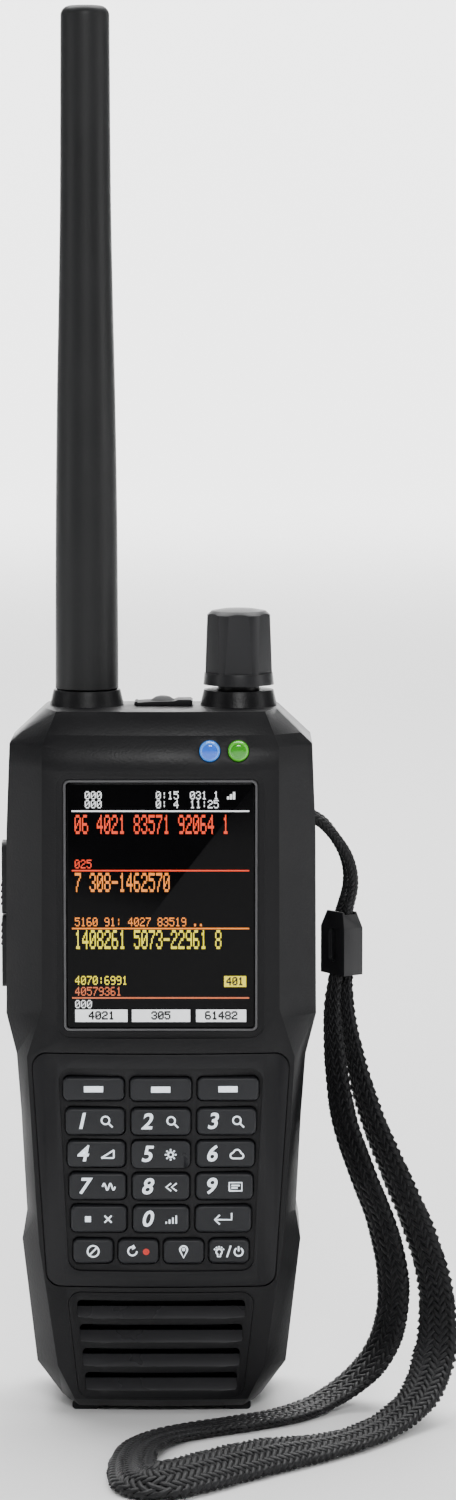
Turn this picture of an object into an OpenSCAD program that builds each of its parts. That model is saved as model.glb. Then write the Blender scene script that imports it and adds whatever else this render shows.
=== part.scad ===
// Handheld radio scanner, standing on its feet.
// Millimetres. +Z is up along the antenna, +X is to the right of the keypad, -Y is the face with the display.
// The origin is on the table, under the plane that holds the antenna and knob axes.

/* [Body] */
// Height of the flat top of the housing above the table
body_h = 144.4; // [140:0.1:176]
// Greatest width, across the display end
body_w = 63.6; // [60:0.1:80]
// Depth from the front of the face to the back cover
body_d = 36; // [35:0.5:46]
// Distance from the front of the face to the antenna and knob plane
front_depth = 21; // [20:0.5:24]
// Width across the bottom edge
bottom_w = 38; // [34:0.1:40]
// Width at the lower corners
corner_w = 51.2; // [47:0.1:56]
// Width at the flare between the speaker and the keypad
flare_w = 57.2; // [55:0.1:62]
// Width at the waist beside the keypad
waist_w = 55.2; // [54.6:0.1:58]
// Width at the top of the keypad
shoulder_w = 59; // [58:0.1:62]
// Width of the flat top
crown_w = 47.2; // [46:0.1:52]
// Radius of the crowned front face
face_r = 180; // [150:5:260]
// Wall thickness of both housings
wall = 2; // [1.6:0.1:2.4]
// Depth of the back cover
cover_depth = 7; // [6.6:0.1:8]
// Height of the feet
foot_h = 1.3; // [0.8:0.1:2]

/* [Display] */
// Width of the lit area of the display
lit_w = 36; // [34:0.01:38]
// Height of the lit area of the display
lit_h = 48; // [40:0.01:50]
// Height of the middle of the display above the table
display_z = 105.2; // [104:0.1:108]
// Black border between the lit area and the bezel line
display_border = 1.1; // [0.6:0.1:1.3]
// Width of the bezel line
bezel_line = 0.6; // [0.4:0.1:1]
// Thickness of the display module
panel_t = 2.2; // [1.6:0.1:2.6]

/* [Keypad] */
// Height of the middle of the top row of keys
soft_row_z = 67.6; // [67:0.1:68.4]
// Distance between rows of keys
row_pitch = 6.72; // [6.4:0.01:6.75]
// Width of a digit key in the widest row
digit_w = 12.1; // [10:0.1:12.4]
// Height of a digit key
digit_h = 5.5; // [5:0.1:5.6]
// Corner radius of the keys
key_r = 1.2; // [0.8:0.1:2]
// Gap around each key
key_gap = 0.25; // [0.15:0.05:0.3]
// Travel of the keys
key_travel = 0.5; // [0.3:0.1:0.6]
// Width of the lip that holds each key behind the bezel
key_lip = 0.35; // [0.3:0.05:0.4]
// Height of the top edge of the keypad bezel
bezel_top = 74.8; // [74:0.1:75.6]
// Height of the bottom edge of the keypad bezel
bezel_bottom = 26.8; // [26.4:0.1:28]
// Width of the keypad bezel at its top
bezel_top_w = 52.6; // [50:0.1:53]
// Width of the keypad bezel at its bottom
bezel_bottom_w = 46.4; // [44:0.1:47]

/* [Speaker] */
// Height of the grille insert
grille_h = 22; // [20:0.5:22.4]
// Width of the grille insert at its top
grille_top_w = 38.4; // [36:0.1:40]
// Width of the grille insert at its bottom
grille_bottom_w = 33.4; // [31:0.1:34]
// Height of one slot in the grille
slot_h = 3.85; // [3:0.05:4.1]
// Distance between the slots
slot_pitch = 5; // [4.8:0.1:5.2]

/* [Top controls] */
// Distance of the antenna axis left of the middle
antenna_x = 15.4; // [14.8:0.1:17]
// Distance of the knob axis right of the middle
knob_x = 15.9; // [14.8:0.1:17]
// Height of the collars above the flat top
collar_h = 3.2; // [3:0.1:6]
// Diameter of the antenna collar at its rim
antenna_collar_d = 13.8; // [13.4:0.1:14.6]
// Diameter of the knob collar at its rim
knob_collar_d = 14.4; // [13.6:0.1:14.8]
// Length of the antenna above its collar
antenna_len = 139.5; // [60:0.5:220]
// Diameter of the antenna at its foot
antenna_foot_d = 13; // [12:0.1:13.4]
// Diameter of the antenna at its tip
antenna_tip_d = 10; // [8:0.1:11]
// Height of the control knob
knob_h = 15.8; // [13:0.1:20]
// Diameter of the knob at its skirt
knob_skirt_d = 14.6; // [14:0.1:15]
// Diameter of the knob at its shoulder
knob_top_d = 13; // [12:0.1:13.2]
// Diameter of the knob shaft
shaft_d = 6; // [5:0.1:6.4]
// Push travel of the knob
knob_travel = 0.5; // [0.3:0.1:0.6]
// Bore of the headphone jack
jack_d = 3.6; // [3.55:0.01:3.7]
// Diameter of the indicator lenses
lens_d = 4.3; // [3:0.1:4.6]

/* [Sides] */
// Height of each side key
side_key_h = 14.8; // [12:0.1:15.4]
// How far the side keys stand out
side_key_out = 1.1; // [0.6:0.1:1.6]
// Travel of the side keys
side_key_travel = 0.7; // [0.4:0.1:0.8]
// Diameter of the strap bar
strap_bar_d = 2; // [1.6:0.1:2.2]

/* [Back] */
// Width of the battery pack
battery_w = 40; // [34:0.5:40.4]
// Height of the battery pack
battery_h = 60; // [50:0.5:60.5]
// Thickness of the battery pack
battery_t = 12.6; // [10:0.1:14]
// Thickness of the battery door
door_t = 1.8; // [1.6:0.1:2]
// Width of the belt clip lever
clip_w = 15.8; // [14:0.1:18]
// Length of the belt clip below its pin
clip_len = 42; // [34:0.5:44]
// Gap behind the belt clip lever
belt_gap = 5.2; // [5.2:0.1:7]
// Diameter of the clip pin
clip_pin_d = 1.8; // [1.4:0.1:1.9]

/* [Hidden] */
$fn = 48;
// Clearances
fit = 0.1;
slip = 0.08;
gap = 0.25;
joint_gap = 0.3;
EPS = 0.01;

front = -front_depth;
back = body_d - front_depth;
split = back - cover_depth;
inner_back = back - wall;
bottom_inside = foot_h + wall;
top_inside = body_h - wall;

// Half widths of the outline against height
chin_z = 10;
flare_z = 35.5;
waist_z = 41.5;
keypad_top_z = 74;
shoulder_z = 82;
crown_drop = 6.8;
top_w = body_w - 1.8;
OUTLINE = [[foot_h, bottom_w / 2], [chin_z, corner_w / 2], [flare_z, flare_w / 2],
    [waist_z, waist_w / 2], [62, waist_w / 2 + 1.1], [keypad_top_z, shoulder_w / 2 + 0.1],
    [shoulder_z, body_w / 2], [body_h - 25, body_w / 2 - 0.2],
    [body_h - crown_drop, top_w / 2], [body_h, crown_w / 2]];
function half_w(z) = lookup(z, OUTLINE);
// Half width of the front face, inside the side bevels
function face_half(z) = lookup(z, [[foot_h, bottom_w / 2 - 2.2], [chin_z, corner_w / 2 - 4.4],
    [flare_z, flare_w / 2 - 3.6], [waist_z, waist_w / 2 - 2.2], [keypad_top_z, shoulder_w / 2 - 2.2],
    [shoulder_z + 2, 24.2], [body_h - crown_drop, 24], [body_h, crown_w / 2 - 2.4]]);
// Depth of the side bevels
function bevel_d(z) = lookup(z, [[foot_h, 5], [flare_z, 4.8], [keypad_top_z, 4.6],
    [shoulder_z + 2, 8], [body_h, 7]]);
// Front of the face on the middle plane: it leans back at the bottom edge and at the crown
crown_bevel_h = 4.6;
crown_bevel_d = 5;
function face_front(z) = lookup(z, [[foot_h, front + 2.4], [3.2, front],
    [body_h - crown_bevel_h, front], [body_h, front + crown_bevel_d]]);
function crown(x) = face_r - sqrt(face_r * face_r - x * x);
function side_x(z) = half_w(z);

// A closed skin through rings of equal count, each listed counterclockwise from above
module loft(rings) {
    n = len(rings[0]);
    last = len(rings) - 1;
    pts = [for (ring = rings) each ring];
    sides = [for (k = [0:last - 1], i = [0:n - 1])
        let (a = k * n + i, b = k * n + (i + 1) % n)
        each [[a, a + n, b + n], [a, b + n, b]]];
    polyhedron(pts, concat([[for (i = [0:n - 1]) i]], sides,
        [[for (i = [n - 1:-1:0]) last * n + i]]));
}
// One ring of the front housing, inset by a wall, open towards the back
function front_ring(z, inset, back_y) =
    let (w = half_w(z) - inset, h = face_half(z) - inset * 0.6, f = face_front(z) + inset,
        side_y = face_front(z) + crown(face_half(z)) + bevel_d(z))
    [[-w, back_y, z], [-w, side_y, z],
     each [for (i = [-4:4]) [h * i / 4, f + crown(h * i / 4), z]],
     [w, side_y, z], [w, back_y, z]];
// One ring of the back cover
back_bevel = 4;
function back_ring(z, inset, front_y) =
    let (w = half_w(z) - inset, b = back - inset, c = back_bevel - inset * 0.4)
    [[w, front_y, z], [w, b - c, z], [w - c, b, z], [c - w, b, z], [-w, b - c, z], [-w, front_y, z]];
function levels(low, high) = [low, for (p = OUTLINE) if (p[0] > low + 1 && p[0] < high - 1) p[0], high];
FRONT_LEVELS = [foot_h, 3.2, chin_z, flare_z, waist_z, 62, keypad_top_z, shoulder_z, shoulder_z + 2,
    body_h - 25, body_h - crown_drop, body_h - crown_bevel_h, body_h];

// Polygon with rounded corners, from the corner circles' centres in counterclockwise order
module rounded(c, r) {
    n = len(c);
    polygon([for (i = [0:n - 1])
        let (a = c[i], b = c[(i + 1) % n], d = (b - a) / norm(b - a), out = [d[1], -d[0]] * r)
        each [a + out, b + out]]);
    for (p = c) translate(p) circle(r);
}
// Upright shape, wider at the top, about the middle plane
module taper(low, high, low_w, high_w, r) {
    lean = (high_w - low_w) / 2 / (high - low);
    slack = r * lean;
    rounded([[-low_w / 2 + r - slack, low + r], [low_w / 2 - r + slack, low + r],
        [high_w / 2 - r - slack, high - r], [-high_w / 2 + r + slack, high - r]], r);
}
module rect(w, h, r) {
    rounded([[-w / 2 + r, -h / 2 + r], [w / 2 - r, -h / 2 + r], [w / 2 - r, h / 2 - r],
        [-w / 2 + r, h / 2 - r]], r);
}
// Outline in X and Z carried along Y
module along_y(y0, y1) {
    translate([0, y1, 0]) rotate([90, 0, 0]) linear_extrude(y1 - y0) children();
}
// Outline in Y and Z carried along X
module along_x(x0, x1) {
    translate([x0, 0, 0]) rotate([90, 0, 90]) linear_extrude(x1 - x0) children();
}
module rod_y(y0, y1, d) {
    translate([0, y1, 0]) rotate([90, 0, 0]) cylinder(h = y1 - y0, d = d);
}
module rod_x(x0, x1, d) {
    translate([x0, 0, 0]) rotate([0, 90, 0]) cylinder(h = x1 - x0, d = d);
}
module block(x0, x1, y0, y1, z0, z1) {
    translate([x0, y0, z0]) cube([x1 - x0, y1 - y0, z1 - z0]);
}
// Everything behind the crowned face, moved back by a depth
module behind_face(depth) {
    reach = 34;
    step = 2;
    translate([0, front + depth, -5]) linear_extrude(body_h + 20)
        polygon([each [for (x = [-reach:step:reach]) [x, crown(x)]], [reach, 30], [-reach, 30]]);
}

// Display
window_w = lit_w + 2 * display_border;
window_h = lit_h + 2 * display_border;
bezel_w = window_w + 2 * bezel_line;
bezel_h = window_h + 2 * bezel_line;
recess_margin = 1.4;
recess_y = front + 1.4;
display_seat = front + 2.6;
display_ledge = front + 3.8;
panel_y = display_ledge + fit;

// Keypad stack, measured back from the front
bezel_seat = front + 2.6;
bezel_ledge = front + 4;
bezel_back = front + 3.6;
flange_y = bezel_back + fit;
flange_t = 0.7;
stem_end = flange_y + flange_t + 0.3;
mat_y = stem_end + key_travel + fit;
mat_t = 0.8;
plunger_t = 0.6;
dome_y = mat_y + mat_t + plunger_t + fit;
dome_t = 0.4;
key_board_y = dome_y + dome_t;
board_t = 1.2;
keypad_floor = 1.3;
floor_top = 71.9;
floor_bottom = 29.9;
floor_top_w = 41.8;
floor_bottom_w = 37.8;
function digit_row_z(i) = soft_row_z - row_pitch * i;
function row_w(i) = digit_w - 0.22 * (i - 1);
function row_x(i) = digit_w + 1.3 - 0.23 * (i - 1);
DIGITS = [["key_1", "key_2", "key_3"], ["key_4", "key_5", "key_6"], ["key_7", "key_8", "key_9"],
    ["key_dot", "key_0", "key_enter"]];
SOFT = ["soft_key_left", "soft_key_middle", "soft_key_right"];
LAST = ["avoid_key", "replay_key", "services_key", "power_key"];
last_w = 8.2;
last_h = 5;
last_pitch = 9.25;
// Name, place across, height, width and height of every key
KEYS = concat(
    [for (j = [0:2]) [SOFT[j], (j - 1) * (row_x(1) + 0.3), soft_row_z, row_w(1) + 0.4, 4.8]],
    [for (i = [1:4], j = [0:2]) [DIGITS[i - 1][j], (j - 1) * row_x(i), digit_row_z(i), row_w(i), digit_h]],
    [for (j = [0:3]) [LAST[j], (j - 1.5) * last_pitch, digit_row_z(5), last_w, last_h]]);

// Speaker and its grille
grille_low = 3.5;
grille_high = grille_low + grille_h;
grille_seat = front + 2.4;
grille_r = 2.5;
speaker_y = front + 3.8;
first_slot_z = grille_high - 3.5;

// Top controls
collar_z = body_h + collar_h;
seat_gap = 0.1;
encoder_w = 12;
encoder_low = body_h - 9;
encoder_high = top_inside - 0.1;
bushing_d = shaft_d + 2.6;
plunger_low = encoder_low + 1.2;
shaft_low = plunger_low + 1.8;
knob_low = collar_z + 1.1;
knob_top = knob_low + knob_h;
socket_low = body_h - 10;
barrel_d = 6.35;
barrel_top = collar_z - 0.8;
jack_x = 0.25;
jack_low = body_h - 14;
jack_nose = body_h - 0.4;
cover_hinge_x = -5.2;
lens_z = body_h - 7.7;
LENS_X = [10, 15.8];

// Boards
radio_y = front + 11.5;
radio_t = 1.4;
radio_w = 43;
radio_low = 30;
radio_high = body_h - 6;

// Sides
side_key_y = -3;
side_key_w = 7;
side_gap = 0.25;
side_mid_z = 101.45;
side_switch_x = body_w / 2 - 4.2;
pocket_low = 117;
pocket_high = 128;
pocket_w = 9.2;
strap_x = body_w / 2 - 2.4;
usb_z = 53;
usb_y = radio_y + radio_t + 1.45;
usb_wall_x = waist_w / 2 + 0.35;
usb_hinge_z = 47.2;

// Back
door_low = 10.9;
door_pin_z = 75;
door_w = battery_w + 3.2;
door_y = back - door_t;
bay_low = 12.6;
bay_top = bay_low + battery_h + 1.2;
bay_floor = door_y - 0.4 - battery_t - 0.3;
screw_d = 2.5;
SCREWS = [[14, 6.2], [-14, 6.2], [24.3, shoulder_z + 1], [-24.3, shoulder_z + 1],
    [23.5, body_h - 13], [-23.5, body_h - 13]];
clip_pin_z = 126;
bracket_t = 1.6;
bracket_low = 115.5;
bracket_high = 136;
clip_pin_y = back + bracket_t + 1.8;
lever_y = back + belt_gap;
lever_t = 1.8;
ear_t = 1.6;
ear_x = clip_w / 2 + 0.3;
BRACKET_SCREWS = [[-5, bracket_high - 3.6], [5, bracket_high - 3.6]];

module front_skin() {
    loft([for (z = FRONT_LEVELS) front_ring(z, 0, split)]);
}
module collar(x, d) {
    translate([x, 0, body_h - 1]) cylinder(h = collar_h + 1, d1 = d + 2, d2 = d);
}
module foot(side, y0, y1) {
    translate([side * (bottom_w / 2 - 3.4), 0, foot_h / 2 + 0.3]) along_y(y0, y1)
        rect(5.6, foot_h + 0.6, foot_h * 0.6);
}
module strap_pocket(x0, y_half, z0, z1) {
    block(x0, body_w / 2 + 2, -y_half, y_half, z0, z1);
}

module front_housing() {
    inside = concat([bottom_inside], [for (z = FRONT_LEVELS) if (z > 4 && z < body_h - 5) z], [top_inside]);
    color([0.17, 0.17, 0.19]) difference() {
        union() {
            difference() {
                front_skin();
                loft([for (z = inside) front_ring(z, wall, split + 1)]);
            }
            // Seats for the display, the keypad bezel and the grille, and the strap pocket's walls
            intersection() {
                front_skin();
                union() {
                    block(-bezel_w / 2 - 3, bezel_w / 2 + 3, front + 1, display_ledge,
                        display_z - bezel_h / 2 - 1.4, display_z + bezel_h / 2 + 1.6);
                    along_y(front + 1.4, bezel_ledge)
                        taper(bezel_bottom - 1.5, bezel_top + 1, bezel_bottom_w + 3, bezel_top_w + 3, 3);
                    along_y(front + 1, front + 3.6)
                        taper(grille_low - 1, grille_high + 0.8, grille_bottom_w + 2, grille_top_w + 2, 3);
                    difference() {
                        strap_pocket(strap_x - 6, pocket_w / 2 + 1.6, pocket_low - 2, pocket_high + 2);
                        translate([strap_x, 0, pocket_low - 3]) cylinder(h = 16, d = strap_bar_d);
                    }
                }
            }
            for (side = [-1, 1]) {
                // Feet, board rails and screw posts
                foot(side, front + 5, split);
                for (z = [62, 118]) intersection() {
                    front_skin();
                    block(min(side * 20.6, side * 40), max(side * 20.6, side * 40),
                        radio_y + radio_t + fit, radio_y + radio_t + 1.6, z, z + 3);
                }
            }
            intersection() {
                front_skin();
                for (p = SCREWS) {
                    translate([p[0], 0, p[1]]) rod_y(-4, split, 5.4);
                    if (p[1] < 20)
                        block(p[0] - 2.7, p[0] + 2.7, -4, split, foot_h, p[1]);
                    else
                        block(min(p[0], sign(p[0]) * 40), max(p[0], sign(p[0]) * 40), -4, split,
                            p[1] - 1, p[1] + 1);
                }
            }
            collar(-antenna_x, antenna_collar_d);
            collar(knob_x, knob_collar_d);
        }
        // Display recess, seat and window
        translate([0, 0, display_z]) {
            along_y(front - 2, recess_y) rect(bezel_w + 2 * recess_margin, bezel_h + 2 * recess_margin, 3);
            along_y(front - 2, display_seat) rect(bezel_w + 2 * fit, bezel_h + 2 * fit, 1.2);
            along_y(front - 2, display_ledge + 1) rect(lit_w + 1.2, lit_h + 1.2, 0.6);
        }
        // Keypad seat and opening
        along_y(front - 2, bezel_seat)
            taper(bezel_bottom - gap, bezel_top + gap, bezel_bottom_w + 2 * gap, bezel_top_w + 2 * gap, 3);
        along_y(front - 2, bezel_ledge + 1)
            taper(bezel_bottom + 1.4, bezel_top - 1.4, bezel_bottom_w - 3, bezel_top_w - 3, 3);
        // Grille seat and opening
        along_y(front - 2, grille_seat)
            taper(grille_low - fit, grille_high + fit, grille_bottom_w + 2 * fit, grille_top_w + 2 * fit,
                grille_r + fit);
        along_y(front - 2, front + 6)
            taper(grille_low + 1, grille_high - 1, grille_bottom_w - 2.4, grille_top_w - 2.4, 2);
        // Indicator holes
        for (x = LENS_X) translate([x, 0, lens_z]) {
            rod_y(front - 1, front + 5, lens_d + 2 * fit);
            rod_y(front + wall, front + 8, lens_d + 1 + 2 * fit);
        }
        // Antenna cup and socket hole
        translate([-antenna_x, 0, body_h - 0.6]) cylinder(h = 20, d = 9.6);
        translate([-antenna_x, 0, body_h - 8]) cylinder(h = 20, d = barrel_d + 0.2);
        // Knob bushing hole
        translate([knob_x, 0, body_h - 8]) cylinder(h = 20, d = bushing_d + 2 * fit);
        // Headphone jack
        translate([jack_x, 0, body_h - 8]) cylinder(h = 20, d = 6);
        // Side key windows
        for (side = [-1, 1]) translate([0, side_key_y, side_mid_z - side * (side_key_h / 2 + 0.2)])
            along_x(-body_w, -body_w / 2 + 5) rect(side_key_w + 2 * side_gap, side_key_h + 2 * 0.15, 1.5);
        // Charging port: the flap's recess and the hole behind it
        translate([0, usb_y, usb_z]) {
            along_x(-waist_w, -usb_wall_x + 1.1) rect(7.6, 13.4, 0.8);
            along_x(-waist_w, -usb_wall_x + 4) rect(4.2, 9.4, 1);
        }
        // Strap pocket
        strap_pocket(strap_x - 3.9, pocket_w / 2, pocket_low, pocket_high);
        // Screw bores
        for (p = SCREWS) translate([p[0], 0, p[1]]) rod_y(-2.5, split + 1, screw_d - 0.2);
    }
}

module back_skin() {
    difference() {
        loft([for (z = levels(foot_h, body_h)) back_ring(z, 0, split)]);
        // The top falls away towards the back
        translate([-body_w, split, body_h]) rotate([-11, 0, 0]) cube([2 * body_w, 40, 20]);
    }
}
module rear_housing() {
    inner_low = bottom_inside + 0.3;
    color([0.16, 0.16, 0.18]) difference() {
        union() {
            difference() {
                back_skin();
                loft([for (z = levels(inner_low, top_inside - 1.6)) back_ring(z, wall, split - 1)]);
            }
            // Battery bay box, screw tubes and the feet's back ends
            block(-battery_w / 2 - 1.8, battery_w / 2 + 1.8, bay_floor - 1.4, inner_back + 1,
                bay_low - 1.6, bay_top + 1.6);
            block(-door_w / 2 - 1.4, door_w / 2 + 1.4, door_y - 1.6, back - 0.4,
                door_low - 3.4, door_pin_z + 2.6);
            for (p = SCREWS) intersection() {
                back_skin();
                translate([p[0], 0, p[1]]) rod_y(split, back, 6.4);
            }
            for (side = [-1, 1]) foot(side, split, back - 2.4);
        }
        // Battery bay
        block(-battery_w / 2 - 0.4, battery_w / 2 + 0.4, bay_floor, back + 1, bay_low, bay_top);
        // Door seat, hinge holes and latch notch
        block(-door_w / 2 - gap, door_w / 2 + gap, door_y - 0.1, back + 1, door_low - gap, door_pin_z + 1.3);
        translate([0, back - 0.95, door_pin_z]) rod_x(-door_w / 2 - 1.3, door_w / 2 + 1.3, 1.4 + 2 * slip);
        block(-4.6, 4.6, door_y, door_y + 1.25, door_low - 2.3, door_low + 1);
        // Screw bores and head recesses
        for (p = SCREWS) translate([p[0], 0, p[1]]) {
            rod_y(split - 1, back + 1, screw_d + 0.3);
            rod_y(back - 2.6, back + 1, 4.9);
        }
        for (p = BRACKET_SCREWS) translate([p[0], 0, p[1]]) rod_y(inner_back - 1, back + 1, screw_d - 0.2);
    }
}

module keypad_bezel() {
    color([0.15, 0.15, 0.17]) difference() {
        union() {
            intersection() {
                along_y(front - 1, bezel_seat)
                    taper(bezel_bottom, bezel_top, bezel_bottom_w, bezel_top_w, 3);
                behind_face(0);
            }
            along_y(bezel_seat - 0.5, bezel_back)
                taper(bezel_bottom + 1.5, bezel_top - 1.5, bezel_bottom_w - 3.2, bezel_top_w - 3.2, 3);
            // Rim that clamps the key mat
            difference() {
                along_y(bezel_back - EPS, mat_y)
                    taper(bezel_bottom + 1.5, bezel_top - 1.5, bezel_bottom_w - 3.2, bezel_top_w - 3.2, 3);
                along_y(bezel_back - 1, mat_y + 1)
                    taper(bezel_bottom + 2.7, bezel_top - 2.7, bezel_bottom_w - 5.6, bezel_top_w - 5.6, 2.4);
            }
        }
        difference() {
            along_y(front - 2, bezel_seat + 0.5)
                taper(floor_bottom, floor_top, floor_bottom_w, floor_top_w, 2.6);
            behind_face(keypad_floor);
        }
        for (k = KEYS) translate([k[1], 0, k[2]])
            along_y(front - 2, bezel_back + 1) rect(k[3] + 2 * key_gap, k[4] + 2 * key_gap, key_r + key_gap);
    }
}
module key_cap(k) {
    color([0.2, 0.2, 0.22]) translate([k[1], 0, k[2]]) {
        along_y(front + crown(k[1]) + 0.15, flange_y + 0.2) rect(k[3], k[4], key_r);
        along_y(flange_y, flange_y + flange_t) rect(k[3] + 2 * key_lip, k[4] + 2 * key_lip, key_r);
        rod_y(flange_y, stem_end, 3);
        if (k[0] == "key_5")
            translate([k[3] / 2 - 1.1, 0, 0]) rod_y(front + crown(k[1]) - 0.15, front + 1, 0.7);
    }
}
module keypad_mat() {
    color([0.75, 0.76, 0.78]) {
        difference() {
            along_y(mat_y, key_board_y)
                taper(bezel_bottom + 1.5, bezel_top - 1.5, bezel_bottom_w - 3.2, bezel_top_w - 3.2, 3);
            along_y(mat_y + mat_t, key_board_y + 1)
                taper(bezel_bottom + 3, bezel_top - 3, bezel_bottom_w - 6.2, bezel_top_w - 6.2, 2.4);
        }
        for (k = KEYS) translate([k[1], 0, k[2]]) rod_y(mat_y, mat_y + mat_t + plunger_t, 2.4);
    }
}
module snap_domes() {
    color([0.8, 0.8, 0.82]) for (k = KEYS) translate([k[1], key_board_y, k[2]])
        rotate([90, 0, 0]) cylinder(h = dome_t, d1 = 4.2, d2 = 1.6);
}
module keypad_board() {
    color([0.1, 0.35, 0.2]) along_y(key_board_y, key_board_y + board_t)
        taper(bezel_bottom + 1.5, bezel_top - 1.5, bezel_bottom_w - 3.2, bezel_top_w - 3.2, 3);
}

module display_bezel() {
    color([0.42, 0.42, 0.44]) translate([0, 0, display_z]) difference() {
        along_y(recess_y - 0.3, display_seat) rect(bezel_w, bezel_h, 1.2);
        along_y(recess_y - 1, display_seat + 1) rect(window_w + 2 * fit, window_h + 2 * fit, 0.8);
    }
}
module display_window() {
    color([0.05, 0.05, 0.06]) translate([0, 0, display_z])
        along_y(recess_y, display_seat) rect(window_w, window_h, 0.8);
}
module display_panel() {
    color([0.02, 0.02, 0.02]) translate([0, 0, display_z])
        along_y(panel_y, panel_y + panel_t) rect(lit_w + 4, lit_h + 4.6, 0.5);
}
module radio_board() {
    color([0.08, 0.3, 0.18])
        block(-radio_w / 2, radio_w / 2, radio_y, radio_y + radio_t, radio_low, radio_high);
}
module shield_cans() {
    can_y = radio_y + radio_t;
    color([0.75, 0.76, 0.78]) for (can = [[-18, 2, 84, 106], [5, 19, 84, 100], [-18, 18, 110, 126]])
        difference() {
            block(can[0], can[1], can_y, can_y + 3, can[2], can[3]);
            block(can[0] + 0.4, can[1] - 0.4, can_y - 1, can_y + 2.6, can[2] + 0.4, can[3] - 0.4);
        }
}

module speaker_grille() {
    color([0.15, 0.15, 0.17]) difference() {
        intersection() {
            along_y(front - 1, grille_seat)
                taper(grille_low, grille_high, grille_bottom_w, grille_top_w, grille_r);
            behind_face(-0.2);
        }
        // Four slots, each shorter than the one above, with a sill that slopes out to the face
        for (i = [0:3]) translate([0, 0, first_slot_z - i * slot_pitch]) intersection() {
            along_y(front - 2, grille_seat + 1) rect(34.4 - 1.1 * i, slot_h, 0.9);
            along_x(-20, 20) polygon([[front - 2, -slot_h / 2 - 1], [front + 0.3, -slot_h / 2 - 1],
                [front + 0.3, -slot_h / 2 + 0.05], [grille_seat + 0.1, slot_h * 0.1],
                [grille_seat + 1, slot_h * 0.1], [grille_seat + 1, slot_h], [front - 2, slot_h]]);
        }
    }
}
module speaker() {
    spk_w = 30;
    spk_h = 19.4;
    spk_z = grille_low + 11;
    color([0.12, 0.12, 0.13]) translate([0, 0, spk_z]) {
        difference() {
            along_y(speaker_y, speaker_y + 2.6) rect(spk_w, spk_h, spk_h / 2 - 0.1);
            translate([0, speaker_y + 1.6, 0]) rotate([90, 0, 0]) cylinder(h = 2, d1 = 8, d2 = 17);
        }
        rod_y(speaker_y + 2.5, speaker_y + 5.4, 14);
    }
}

module lens(i, tint) {
    x = LENS_X[i];
    seat = front + wall + crown(x + lens_d) + 0.05;
    color(tint) translate([x, 0, lens_z]) {
        rod_y(front + crown(x) - 0.1, seat + 0.6, lens_d);
        translate([0, front + crown(x) + 0.1, 0]) rotate([90, 0, 0]) cylinder(h = 0.6, d1 = 3.6, d2 = 2.2);
        rod_y(seat, seat + 0.7, lens_d + 1);
        rod_y(seat, radio_y - fit, 2.8);
    }
}
module blue_light_lens() { lens(0, [0.25, 0.5, 0.95]); }
module green_light_lens() { lens(1, [0.3, 0.75, 0.2]); }

module antenna_socket() {
    color([0.8, 0.65, 0.3]) translate([-antenna_x, 0, 0]) difference() {
        union() {
            translate([0, 0, socket_low]) cylinder(h = barrel_top - socket_low, d = barrel_d);
            block(-4.6, 4.6, -4.6, 4.6, socket_low, top_inside - 0.1);
        }
        translate([0, 0, barrel_top - 6]) cylinder(h = 10, d = 1.3);
    }
}
module antenna_core() {
    color([0.8, 0.65, 0.3]) translate([-antenna_x, 0, 0]) {
        difference() {
            translate([0, 0, body_h - 0.4]) cylinder(h = 10, d = 9.2);
            translate([0, 0, body_h - 1]) cylinder(h = barrel_top + 0.3 - body_h + 1, d = barrel_d + 2 * slip);
        }
        translate([0, 0, barrel_top - 3.5]) cylinder(h = 6, d = 1.1);
        translate([0, 0, body_h + 9]) cylinder(h = antenna_len + collar_h - 18.4, d = 3);
    }
}
module antenna_sleeve() {
    tip = collar_z + antenna_len;
    foot_r = antenna_foot_d / 2;
    tip_r = antenna_tip_d / 2;
    mid_r = (foot_r + tip_r) / 2;
    low = collar_z + seat_gap;
    color([0.13, 0.13, 0.14]) translate([-antenna_x, 0, 0]) difference() {
        rotate_extrude($fn = 72) union() {
            polygon([[0, low], [foot_r, low], [foot_r - 0.15, collar_z + antenna_len * 0.24],
                [mid_r + 0.25, collar_z + antenna_len * 0.43], [tip_r + 0.45, collar_z + antenna_len * 0.62],
                [tip_r + 0.2, collar_z + antenna_len * 0.75], [tip_r, tip - 2], [tip_r - 2, tip], [0, tip]]);
            translate([tip_r - 2, tip - 2]) circle(2);
        }
        translate([0, 0, low - 1]) cylinder(h = body_h + 9.7 - low + 1, d = 9.3);
        translate([0, 0, low]) cylinder(h = antenna_len - 9.4, d = 3.1);
    }
}

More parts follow.
